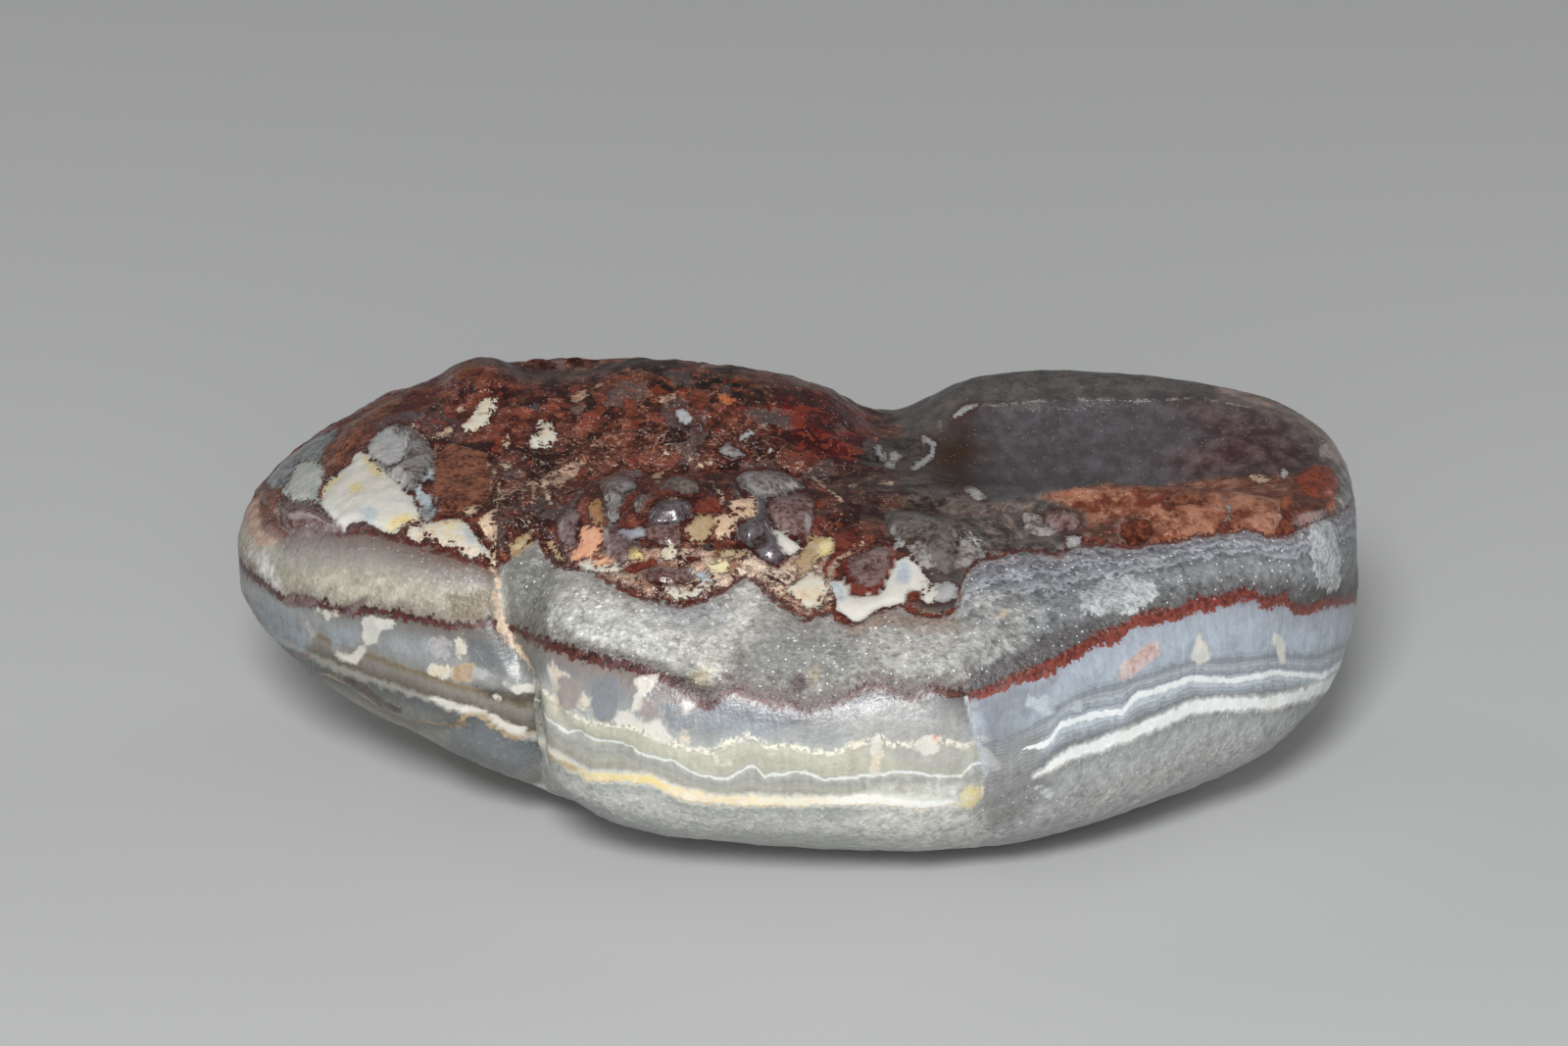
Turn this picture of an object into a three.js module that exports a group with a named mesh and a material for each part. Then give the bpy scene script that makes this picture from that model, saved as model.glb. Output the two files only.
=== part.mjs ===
// A river-worn pebble of banded chalcedony, one solid piece, in millimetres.
// X runs along the pebble's length, Y runs from its front to its back and Z is up.
// The origin is on the surface that it rests on, under the middle of its outline.
import * as THREE from "three";

// Fineness: each edge of the starting icosahedron is cut into this many parts.
const EDGE_PARTS = 22;

// The widest outline seen from above: bearing in degrees from +X towards +Y, and radius.
const OUTLINE = [
  [0, 22.4], [14, 24.5], [25, 25.7], [36, 23.6], [48, 19.6], [62, 16.0], [76, 14.2],
  [90, 14.1], [104, 15.4], [118, 17.6], [132, 20.4], [146, 23.6], [156, 25.0], [166, 24.2],
  [178, 21.4], [190, 18.2], [202, 15.8], [214, 14.7], [226, 14.4], [240, 13.8], [257, 13.2],
  [272, 13.1], [286, 13.5], [298, 14.6], [309, 15.2], [322, 15.9], [335, 17.7], [348, 20.2],
];

// Height of the widest level at a few bearings: low at the front, high at both ends.
const WAIST = [
  [0, 8.0], [20, 8.6], [60, 7.5], [110, 7.5], [150, 8.2], [180, 7.6], [210, 6.4],
  [240, 5.8], [280, 5.8], [320, 6.8],
];

// Creases that run down the side: bearing at the waist, how far each leans back as it rises,
// how deep it cuts into the radius and how many degrees wide it is.
const CREASES = [
  { what: "between the left lobe and the front", bearing: 211, lean: -6, deep: 1.8, wide: 7.5 },
  { what: "between the front and the right side", bearing: 303, lean: 0, deep: 0.45, wide: 8.0 },
];

// How square the section is above and below the waist, by bearing: 2 is an ellipse.
const TOP_SQUARENESS = [[10, 6.0], [90, 4.2], [160, 5.2], [205, 4.2], [270, 3.4], [330, 4.4]];
const BASE_SQUARENESS = [
  [10, 3.4], [90, 2.8], [150, 3.4], [190, 2.7], [222, 2.3], [280, 2.6], [330, 3.5],
];
const FLATTENING = 2.1; // spreads the triangles evenly over a shape this much wider than high

// The top face: a plane that rises to the back, with mounds (+) and hollows (-) on it.
const TOP_HEIGHT = 13.4;
const TOP_RISE = 0.1;
const TOP_FORMS = [
  { what: "back ridge of the jasper lobe", x: -7.0, y: 9.5, high: 1.6, wide: 9.0, deep: 4.5 },
  { what: "knob at the left end of that ridge", x: -13.4, y: 9.5, high: 0.5, wide: 2.6, deep: 4.0 },
  { what: "left shoulder falls away", x: -25.0, y: 6.0, high: -4.2, wide: 5.0, deep: 12.0 },
  { what: "front mound", x: -4.0, y: -3.4, high: 1.6, wide: 5.2, deep: 3.6 },
  { what: "valley behind the mound", x: -3.0, y: 2.4, high: -0.7, wide: 6.5, deep: 2.2 },
  { what: "notch between the lobes", x: 3.9, y: 9.8, high: -1.8, wide: 2.1, deep: 4.2 },
  { what: "dish", x: 13.2, y: 4.6, high: -2.6, wide: 6.4, deep: 3.0 },
  { what: "rim behind the dish", x: 12.5, y: 11.0, high: 0.5, wide: 7.0, deep: 2.4 },
  { what: "ridge in front of the dish", x: 12.5, y: -0.8, high: 0.9, wide: 8.0, deep: 1.9 },
  { what: "glassy dome at the front edge", x: 5.4, y: -4.6, high: 0.8, wide: 1.9, deep: 1.7 },
  { what: "right shoulder falls away", x: 25.5, y: 8.0, high: -1.4, wide: 3.0, deep: 7.0 },
];

// The underside: a flat spot to rest on, curving up to both ends.
const BASE_SINK = 0.3; // how far the underside would reach below the resting plane
const BASE_CENTRE = { x: 0.5, y: -0.5 };
const KEEL = { left: 0.0070, right: 0.0023, across: 0.006 };

// Low relief all over, from smooth repeatable noise: wavelength and height.
const RELIEF = [
  { wave: 9.0, high: 0.5 },
  { wave: 3.6, high: 0.2 },
];
const RELIEF_START = 2.0; // it fades in over this height above the resting plane

const radians = (degrees) => (degrees * Math.PI) / 180;

// A smooth closed curve through [bearing, value] pairs, read at any bearing.
function around(pairs, bearing) {
  const n = pairs.length;
  const first = pairs[0][0];
  const turn = first + ((((bearing - first) % 360) + 360) % 360);
  let i = n - 1;
  while (i > 0 && pairs[i][0] > turn) i -= 1;
  const at = (k) => {
    const lap = Math.floor(k / n);
    const [angle, value] = pairs[k - lap * n];
    return { angle: angle + 360 * lap, value };
  };
  const [p0, p1, p2, p3] = [at(i - 1), at(i), at(i + 1), at(i + 2)];
  const span = p2.angle - p1.angle;
  const t = (turn - p1.angle) / span;
  const m1 = ((p2.value - p0.value) / (p2.angle - p0.angle)) * span;
  const m2 = ((p3.value - p1.value) / (p3.angle - p1.angle)) * span;
  const t2 = t * t;
  const t3 = t2 * t;
  return (
    (2 * t3 - 3 * t2 + 1) * p1.value +
    (t3 - 2 * t2 + t) * m1 +
    (3 * t2 - 2 * t3) * p2.value +
    (t3 - t2) * m2
  );
}

// Repeatable noise between -1 and 1 that varies smoothly over one unit.
function noise(x, y, z) {
  const corner = (i, j, k) => {
    const s = Math.sin(i * 127.1 + j * 311.7 + k * 74.7) * 43758.5453;
    return 2 * (s - Math.floor(s)) - 1;
  };
  const ease = (t) => t * t * (3 - 2 * t);
  const [i, j, k] = [Math.floor(x), Math.floor(y), Math.floor(z)];
  const [u, v, w] = [ease(x - i), ease(y - j), ease(z - k)];
  const mix = THREE.MathUtils.lerp;
  const row = (dj, dk) => mix(corner(i, j + dj, k + dk), corner(i + 1, j + dj, k + dk), u);
  return mix(mix(row(0, 0), row(1, 0), v), mix(row(0, 1), row(1, 1), v), w);
}

function topHeight(x, y) {
  let height = TOP_HEIGHT + TOP_RISE * y;
  for (const form of TOP_FORMS) {
    const across = (x - form.x) / form.wide;
    const along = (y - form.y) / form.deep;
    height += form.high * Math.exp(-(across * across + along * along));
  }
  return height;
}

function baseHeight(x, y) {
  const dx = x - BASE_CENTRE.x;
  const dy = y - BASE_CENTRE.y;
  const lengthwise = (dx < 0 ? KEEL.left : KEEL.right) * dx * dx;
  return lengthwise + KEEL.across * dy * dy - BASE_SINK;
}

// The outline's radius with the creases cut in, from -1 at the base to 1 at the top.
function radiusAt(bearing, up) {
  let radius = around(OUTLINE, bearing);
  const turn = ((bearing % 360) + 360) % 360;
  for (const crease of CREASES) {
    const off = (turn - crease.bearing - crease.lean * up) / crease.wide;
    radius -= crease.deep * Math.exp(-off * off);
  }
  return radius;
}

// The point of the pebble's skin that lies in one direction of the unit ball.
function skinPoint(direction) {
  const bearing = THREE.MathUtils.radToDeg(Math.atan2(direction.y, direction.x));
  const level = Math.hypot(direction.x, direction.y);
  const lift = FLATTENING * direction.z;
  const square = around(lift > 0 ? TOP_SQUARENESS : BASE_SQUARENESS, bearing);
  const size = (level ** square + Math.abs(lift) ** square) ** (1 / square);
  const up = lift / size;
  const out = (level / size) * radiusAt(bearing, up);
  const x = out * Math.cos(radians(bearing));
  const y = out * Math.sin(radians(bearing));
  const waist = around(WAIST, bearing);
  const reach = up > 0 ? topHeight(x, y) - waist : waist - baseHeight(x, y);
  const point = new THREE.Vector3(x, y, waist + up * reach);
  let relief = 0;
  for (const { wave, high } of RELIEF) {
    relief += high * noise(point.x / wave, point.y / wave, point.z / wave);
  }
  relief *= THREE.MathUtils.smoothstep(point.z, 0, RELIEF_START);
  point.addScaledVector(direction, relief);
  point.z = Math.max(point.z, 0);
  return point;
}

function pebbleGeometry() {
  const ball = new THREE.IcosahedronGeometry(1, EDGE_PARTS - 1);
  const places = ball.getAttribute("position");
  const direction = new THREE.Vector3();
  for (let i = 0; i < places.count; i += 1) {
    direction.fromBufferAttribute(places, i).normalize();
    const point = skinPoint(direction);
    places.setXYZ(i, point.x, point.y, point.z);
  }
  ball.deleteAttribute("normal");
  ball.deleteAttribute("uv");
  ball.computeBoundingBox();
  const middle = ball.boundingBox.getCenter(new THREE.Vector3());
  ball.translate(-middle.x, -middle.y, 0);
  ball.computeVertexNormals();
  return ball;
}

const stone = new THREE.Mesh(
  pebbleGeometry(),
  new THREE.MeshStandardMaterial({ color: 0x8d807c, roughness: 0.38, metalness: 0 }),
);
stone.name = "stone";

const pebble = new THREE.Group();
pebble.add(stone);
export default pebble;
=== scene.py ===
import math
from types import SimpleNamespace

import bpy
import numpy as np
from mathutils import Euler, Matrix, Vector, noise
from mathutils.bvhtree import BVHTree


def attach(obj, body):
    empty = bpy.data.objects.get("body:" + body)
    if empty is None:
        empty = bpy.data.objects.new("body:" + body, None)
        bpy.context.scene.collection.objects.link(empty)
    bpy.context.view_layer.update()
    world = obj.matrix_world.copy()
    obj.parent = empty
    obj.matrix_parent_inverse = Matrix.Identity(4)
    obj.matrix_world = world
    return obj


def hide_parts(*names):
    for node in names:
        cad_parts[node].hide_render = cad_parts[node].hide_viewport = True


# A worn pebble of banded chalcedony on a pale floor. Blender's units are metres, and names that end
# in _MM are millimetres. Outlines and lines are traced in pixels of the photograph's 1600 x 1067,
# and colours are sRGB from 0 to 255.

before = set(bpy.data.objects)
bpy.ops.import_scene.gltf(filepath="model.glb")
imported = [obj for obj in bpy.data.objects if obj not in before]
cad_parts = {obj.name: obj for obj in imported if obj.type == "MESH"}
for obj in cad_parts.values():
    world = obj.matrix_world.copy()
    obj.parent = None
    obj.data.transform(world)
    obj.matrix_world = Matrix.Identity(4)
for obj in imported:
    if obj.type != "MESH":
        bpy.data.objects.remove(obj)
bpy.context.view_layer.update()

# The camera that took the photograph, as worked out from it.
PHOTO_WIDTH = 1600
PHOTO_HEIGHT = 1067
LENS_MM = 161.2
SENSOR_MM = 36.0
ELEVATION = math.radians(20)
DISTANCE = 0.290
TARGET = Vector((-0.00055, -0.0013, 0.0120))
CLIP_RANGE = (0.01, 10.0)
MM_PER_PIXEL = 0.0405  # at the stone
PIXELS_PER_TAN = LENS_MM / SENSOR_MM * PHOTO_WIDTH
RIGHTWARDS = np.array((1.0, 0.0, 0.0))
UPWARDS = np.array((0.0, math.sin(ELEVATION), math.cos(ELEVATION)))
FORWARDS = np.array((0.0, math.cos(ELEVATION), -math.sin(ELEVATION)))

# The stone's mesh
MERGE_DISTANCE = 1e-6
ROUNDING_LEVELS = 2
VOXEL = 0.000207
SMOOTHING = 0.5
SMOOTHING_ROUNDS = 8
LEFT_END_MM = -23.7
LENGTH_MM = 47.4

# Which vertices the photograph shows
GRAZING = 0.02  # a face more edge-on than this cosine counts as hidden
RAY_LIFT = 6e-5  # a sight line starts this far above its own face
SPREAD_ROUNDS = 6  # how far the traced side's values blend into the hidden side's

# Boundaries between the layers, from the base up. The stone is a stack of nearly level layers,
# so behind, where the photograph doesn't reach, each keeps its height but for a slight dip.
LAYER_DIP = -0.08
LINE_A = (
    "243,625 290,655 340,678 390,697 430,710 461,721 492,728 515,739 534,751 556,762 579,778 "
    "601,792 638,793 662,795 683,805 703,811 734,816 805,817 858,817 891,815 940,821 1000,816 "
    "1040,797 1064,786 1084,772 1120,760 1164,744 1220,720 1260,718 1300,716 1332,708 1378,688"
)
LINE_B = (
    "243,605 290,632 340,655 400,676 460,697 515,712 545,716 557,731 577,748 591,746 607,756 "
    "634,757 654,769 688,776 707,789 741,795 757,786 767,780 780,792 820,787 840,795 877,792 "
    "897,790 915,786 950,792 981,792 991,780 1026,776 1044,764 1068,758 1084,738 1124,728 "
    "1144,726 1160,710 1176,706 1204,696 1216,692 1260,694 1300,686 1348,690 1380,670"
)
LINE_C = (
    "243,595 290,620 340,640 400,660 460,680 515,690 545,700 560,712 600,740 640,742 690,762 "
    "724,768 745,757 766,749 785,762 805,760 834,768 852,768 883,757 897,751 907,762 938,758 "
    "958,756 985,762 1026,750 1064,728 1100,702 1158,688 1215,670 1290,664 1343,664 1380,650"
)
LINE_D = (
    "243,572 253,583 288,611 318,615 357,624 384,622 415,629 461,639 499,636 530,645 557,657 "
    "582,664 615,674 645,680 684,693 699,706 722,722 735,712 750,702 768,712 801,717 826,725 "
    "838,719 858,716 881,702 905,699 915,709 932,711 950,700 967,707 987,711 1013,702 1034,692 "
    "1064,684 1120,652 1143,646 1156,632 1199,627 1216,618 1241,614 1263,607 1281,607 1291,616 "
    "1313,611 1322,623 1341,620 1357,614 1380,611"
)
LINE_F = (
    "243,482 256,498 272,522 290,541 318,535 345,541 376,540 399,546 430,555 461,564 499,574 "
    "520,568 541,552 548,549 561,574 573,578 592,577 610,586 631,598 652,607 678,614 696,617 "
    "719,610 743,598 759,587 771,592 782,603 806,620 821,632 832,625 848,624 855,632 869,634 "
    "882,632 889,624 907,619 916,617 925,618 930,625 939,624 957,627 969,625 976,614 980,600 "
    "985,582 1003,568 1016,566 1035,561 1048,559 1064,561 1075,565 1087,559 1107,553 1140,555 "
    "1168,556 1201,550 1225,545 1258,541 1283,541 1294,546 1318,546 1328,537 1340,531 1357,527 "
    "1372,520 1390,500"
)
LINE_REACH_MM = 4.0  # a line's distance is counted up to this
# Hidden skin that faces up is above line F: as the upward part of its normal goes from the first
# to the second value, its least height above the line goes from -DROP to RISE - DROP
UPTURNED = (0.2, 0.5)
UPTURNED_RISE_MM = 5.0
UPTURNED_DROP_MM = 4.4
OUTER_STEP_MM = 2.0  # one step of level below line A and above line F
LEAST_GAP_MM = 0.02

# Half widths of the opaque bands on lines A, B, D and F in mm, by the photograph's x
WIDTH_A = [
    (243, 0.035), (430, 0.04), (500, 0.05), (540, 0.1), (600, 0.2), (680, 0.24), (880, 0.22),
    (950, 0.2), (980, 0.02), (1050, 0.02), (1075, 0.2), (1120, 0.3), (1380, 0.28),
]
WIDTH_B = [
    (243, 0.04), (540, 0.05), (1000, 0.06), (1012, -0.04), (1036, -0.04), (1060, 0.14), (1380, 0.1),
]
WIDTH_D = [
    (243, 0.18), (500, 0.14), (540, 0.24), (690, 0.24), (720, 0.2), (960, 0.16), (1000, 0.18),
    (1060, 0.32), (1160, 0.3), (1290, 0.26), (1380, 0.18),
]
WIDTH_F = [
    (243, 0.2), (420, 0.2), (500, 0.18), (545, 0.1), (600, 0.06), (640, 0.14), (750, 0.12),
    (768, 0.1), (782, 0.26), (816, 0.24), (830, 0.12), (880, 0.1), (940, 0.08), (975, 0.1),
    (1000, 0.12), (1060, 0.06), (1100, 0.12), (1180, 0.06), (1380, 0.04),
]

# Where the left lobe ends at the crease, and where the front turns into the right side. Behind,
# they lie at one x each, and the change is more gradual.
CREASE = "498,540 505,570 513,630 525,665 540,700 546,745 550,800"
CORNER = "975,560 985,700 996,760 1004,800 1004,870"
CREASE_BEHIND_MM = -11.5
CORNER_BEHIND_MM = 7.5
BEHIND_SLOPE = 0.2

# Grounds of the stone's top: dark and light colour, then from 0 to 1 their cracks, lumps and gloss,
# and how much lace, grey and orange is mixed in
GROUNDS = {
    "jasper": ((38, 13, 9), (118, 60, 46), 0.7, 0.7, 0.9, 0.4, 0.1, 0.1),
    "red jasper": ((48, 10, 10), (85, 18, 18), 0.3, 0.45, 0.8, 0.15, 0.04, 0.25),
    "pink jasper": ((11, 10, 10), (94, 47, 26), 0.3, 0.5, 0.7, 0.5, 0.1, 0.15),
    "laced jasper": ((36, 13, 9), (104, 58, 46), 0.9, 1.0, 1.0, 0.95, 0.12, 0.05),
    "dark top": ((42, 22, 16), (98, 84, 78), 0.0, 0.2, 0.8, 0.1, 0.2, 0.0),
    "brown rim": ((65, 10, 10), (114, 63, 30), 0.0, 0.3, 0.7, 0.1, 0.1, 0.0),
    "saddle": ((37, 25, 17), (106, 97, 91), 0.0, 0.3, 1.0, 0.15, 0.15, 0.0),
    "dark saddle": ((39, 10, 10), (79, 57, 47), 0.1, 0.35, 1.0, 0.25, 0.08, 0.05),
    "dish": ((62, 58, 60), (81, 79, 82), 0.0, 0.1, 0.8, 0.0, 0.0, 0.0),
    "maroon dish": ((53, 35, 37), (99, 79, 79), 0.0, 0.1, 0.8, 0.0, 0.0, 0.0),
    "brown dish": ((48, 27, 14), (53, 35, 18), 0.0, 0.15, 0.9, 0.0, 0.0, 0.0),
    "back rim": ((66, 62, 63), (96, 91, 85), 0.0, 0.2, 0.7, 0.1, 0.0, 0.0),
    "pink rim": ((105, 92, 86), (149, 133, 124), 0.0, 0.3, 0.6, 0.3, 0.0, 0.0),
    "grey edge": ((63, 56, 51), (146, 145, 140), 0.0, 0.2, 0.8, 0.0, 0.0, 0.0),
    "ridge": ((90, 44, 30), (160, 112, 90), 0.0, 0.3, 0.9, 0.7, 0.0, 0.1),
    "grey ridge": ((52, 46, 42), (112, 106, 101), 0.0, 0.25, 1.0, 0.3, 0.1, 0.0),
    "red ridge": ((76, 49, 39), (129, 107, 101), 0.1, 0.4, 0.9, 0.2, 0.0, 0.15),
    "crust": ((52, 17, 11), (188, 164, 144), 0.7, 1.0, 0.8, 1.9, 0.1, 0.1),
}
# Ground areas: ground, softness of the edge in pixels, outline
AREAS = [
    ("dark top", 12,
     "480,360 640,360 900,400 946,440 905,425 840,402 760,386 640,378 520,384 480,378"),
    ("brown rim", 8, "240,520 300,460 400,405 480,370 500,385 420,425 385,440 340,450 285,500"),
    ("pink jasper", 16, "590,385 700,374 800,388 790,400 690,410 600,405"),
    ("laced jasper", 14, "490,470 560,440 620,440 700,460 640,478 600,490 560,520 545,560 500,560"),
    ("laced jasper", 14, "560,440 720,430 800,450 830,480 760,475 660,470 600,460"),
    ("red jasper", 10, "790,398 850,404 890,424 885,445 872,474 850,484 822,468 800,440"),
    ("laced jasper", 10, "800,470 880,480 870,500 845,500 820,490"),
    ("dark saddle", 6, "845,490 880,482 925,480 930,500 925,515 900,520 895,545 870,530 850,510"),
    ("saddle", 6, "915,482 970,482 1012,512 1060,512 1100,535 1090,556 1045,562 1008,566 985,580 "
     "960,585 935,560 905,545 900,520 925,515"),
    ("back rim", 5,
     "903,413 960,390 1120,365 1260,385 1260,414 1140,411 1060,415 1000,420 965,432 930,450"),
    ("pink rim", 5, "1240,380 1350,425 1392,500 1362,480 1340,450 1300,425 1240,414"),
    ("dish", 4, "932,482 956,446 976,428 1004,420 1060,416 1140,412 1260,416 1300,428 1340,452 "
     "1362,470 1320,482 1250,488 1176,497 1128,493 1084,498 1044,508 1008,512 970,490"),
    ("maroon dish", 22, "1200,412 1300,428 1362,470 1320,484 1220,488 1190,470 1240,445"),
    ("brown dish", 26, "932,480 956,446 990,428 1000,465 985,495"),
    ("grey ridge", 5,
     "985,530 1008,514 1044,509 1090,500 1112,515 1120,540 1110,556 1046,566 1000,574 985,560"),
    ("ridge", 4, "1060,506 1084,499 1128,493 1176,497 1250,488 1316,484 1334,500 1324,530 1300,550 "
     "1258,552 1168,558 1120,545 1104,520"),
    ("red ridge", 5, "1100,540 1136,530 1158,526 1178,540 1172,556 1110,556"),
    ("grey edge", 4, "1364,470 1400,470 1400,640 1366,640 1360,560 1366,520"),
    ("crust", 5, "575,545 596,560 640,560 700,560 760,562 815,565 850,560 856,600 840,628 812,636 "
     "790,610 765,588 720,605 680,612 640,598 590,578 575,572"),
]
# Where the top changes from jasper to plain grey behind, by x
LOBES_MEET_MM = (3.0, 6.0)
# The dish seen from above, for its part that the photograph hides: middle x and y, half sizes, and
# where its edge starts and ends, as squares of the distance from the middle in half sizes
DISH_MM = (13.0, 2.2, 8.0, 3.8)
DISH_EDGE = (1.3, 0.8)

# Soft colours over the layers: colour, strength, softness of the edge in pixels, outline
TINTS = [
    ((184, 182, 174), 0.7, 9, "562,606 600,602 640,622 672,640 690,662 716,690 735,690 745,668 "
     "765,640 782,612 775,598 760,600 742,622 720,642 690,640 650,620"),
    ((192, 193, 185), 0.65, 9, "566,620 620,610 680,650 700,682 660,676 600,656 570,645"),
    ((141, 142, 147), 0.6, 8, "640,612 700,618 750,612 745,640 700,650 660,635"),
    ((113, 114, 114), 0.55, 12, "778,640 840,640 880,652 868,690 820,706 770,690 750,696 770,662"),
    ((164, 163, 159), 0.55, 10, "895,650 960,646 1000,640 985,690 900,690"),
    ((60, 46, 42), 0.8, 5, "548,660 600,668 650,682 700,704 730,714 740,706 722,698 700,686 "
     "676,674 640,664 590,652 560,648"),
    ((80, 76, 78), 0.6, 6, "985,712 1030,690 1085,655 1130,640 1130,628 1080,640 1020,680 985,700"),
    ((152, 136, 92), 0.6, 5, "703,688 712,680 724,684 726,694 714,700"),
    ((180, 158, 114), 0.5, 5, "825,684 834,680 838,692 830,700"),
    ((66, 36, 34), 0.75, 5, "803,691 817,686 826,697 817,708 806,706"),
    ((134, 112, 97), 0.6, 4,
     "845,632 885,630 905,622 930,628 975,630 992,640 970,646 930,648 905,638 880,648 866,650"),
    ((102, 102, 96), 0.75, 5,
     "514,585 520,568 545,558 566,578 570,600 560,640 556,690 530,690 520,640"),
    ((166, 165, 159), 0.5, 9, "990,600 1040,600 1060,620 1040,660 1000,690 985,660"),
    ((90, 86, 87), 0.5, 8,
     "1085,650 1140,632 1180,612 1250,600 1300,590 1340,600 1340,612 1200,622 1120,650"),
    ((122, 129, 138), 0.6, 7, "706,722 730,716 790,728 800,745 770,758 740,752 712,745"),
    ((100, 101, 106), 0.8, 6, "722,704 760,716 800,722 850,712 900,704 960,710 985,710 985,726 "
     "940,730 900,724 850,732 800,742 760,736 730,726"),
    ((150, 149, 146), 0.65, 8, "860,722 900,712 960,716 985,722 985,790 940,786 900,770 860,750"),
    ((193, 193, 186), 0.6, 14, "880,800 960,796 992,800 985,850 930,866 880,862"),
    ((106, 109, 109), 0.55, 12, "545,780 590,808 640,835 700,850 640,862 560,830"),
    # Greyer stone with painted shade, near the corner where the front turns into the right side
    ((112, 116, 122), 0.6, 8, "1000,712 1040,700 1080,688 1066,722 1040,748 1006,764"),
    ((122, 122, 121), 0.75, 9, "1002,760 1040,746 1068,742 1062,775 1050,800 1004,822"),
    ((103, 101, 98), 0.6, 8, "1000,820 1040,800 1064,790 1080,800 1050,830 1005,850"),
    ((169, 166, 150), 0.6, 9, "305,588 350,580 420,592 430,612 380,618 320,610"),
    ((102, 90, 68), 0.7, 7, "455,606 500,600 505,630 460,634"),
    ((196, 195, 193), 0.65, 6, "250,560 268,562 285,590 288,608 270,590"),
    ((123, 134, 143), 0.6, 6, "252,600 290,622 318,640 312,668 270,650"),
    ((128, 142, 151), 0.5, 6, "330,640 365,640 362,665 340,664"),
    ((137, 143, 148), 0.6, 6, "388,650 450,650 460,672 400,670"),
    ((88, 92, 94), 0.7, 5, "474,650 510,655 530,675 515,690 480,680"),
    ((58, 52, 45), 0.7, 4, "480,698 520,702 548,710 546,722 500,714"),
    ((92, 100, 105), 0.6, 8, "453,740 500,735 545,756 545,795 500,790 455,770"),
]

# Opaque and glassy patches: two colours, then strength of a dark rim, lift in mm, gloss
KINDS = {
    "porcelain": ((214, 207, 196), (192, 192, 185), 0.6, 0.05, 0.85),
    "cream": ((202, 184, 155), (193, 191, 183), 0.6, 0.05, 0.5),
    "yellow": ((209, 188, 124), (201, 193, 162), 0.0, 0.04, 0.5),
    "ochre": ((153, 126, 86), (163, 144, 118), 0.5, 0.02, 0.4),
    "tan": ((187, 152, 126), (196, 176, 151), 0.5, 0.05, 0.4),
    "buff": ((133, 95, 70), (154, 117, 68), 0.4, 0.04, 0.4),
    "peach": ((206, 142, 112), (200, 160, 130), 0.5, 0.05, 0.5),
    "salmon": ((172, 126, 112), (192, 179, 174), 0.0, 0.02, 0.5),
    "pink brown": ((134, 97, 80), (181, 151, 130), 0.3, 0.03, 0.4),
    "blue white": ((158, 164, 172), (173, 183, 186), 0.0, 0.03, 0.8),
    "pale blue": ((133, 131, 144), (146, 146, 152), 0.7, 0.1, 0.9),
    "slate": ((120, 119, 120), (118, 124, 130), 0.1, 0.03, 0.8),
    "mauve": ((150, 140, 133), (136, 126, 121), 0.1, 0.03, 0.8),
    "grey": ((68, 54, 49), (132, 128, 128), 0.9, 0.34, 1.0),
    "light grey": ((154, 148, 147), (161, 164, 164), 0.5, 0.06, 0.7),
    "dark grey": ((68, 48, 44), (116, 100, 100), 0.5, 0.18, 0.9),
    "olive grey": ((70, 60, 54), (112, 102, 96), 1.0, 0.3, 1.0),
    "violet": ((60, 48, 50), (97, 92, 96), 1.0, 0.36, 1.0),
    "maroon": ((72, 38, 32), (121, 103, 100), 0.6, 0.24, 1.0),
    "red": ((58, 18, 13), (112, 54, 42), 0.4, 0.12, 0.9),
    "brick": ((52, 18, 10), (114, 60, 44), 0.1, 0.04, 0.9),
    "brown": ((56, 22, 12), (130, 82, 62), 0.2, 0.08, 0.8),
    "orange": ((74, 28, 14), (142, 64, 36), 0.1, 0.12, 0.8),
    "apricot": ((156, 76, 29), (177, 109, 75), 0.0, 0.04, 0.6),
    "glass": ((60, 50, 43), (104, 99, 95), 0.3, 0.14, 1.0),
    "facet": ((86, 75, 69), (152, 149, 146), 0.3, 0.06, 1.0),
    "sugar": ((128, 131, 133), (192, 195, 196), 0.0, 0.12, 0.3),
    # Grey stone with a painted reflection on the left shoulder
    "shoulder": ((69, 73, 79), (141, 142, 142), 0.3, 0.05, 0.9),
    # A pale line painted as the highlight along the dish's back rim
    "painted rim highlight": ((118, 114, 112), (136, 132, 130), 0.0, 0.02, 0.7),
    "sage": ((145, 153, 149), (174, 174, 168), 0.2, 0.05, 0.6),
    # Near-black holes and crevices: painted shade over a small dip
    "dark hole": ((18, 13, 12), (80, 68, 62), 0.1, -0.12, 1.0),
}
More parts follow.
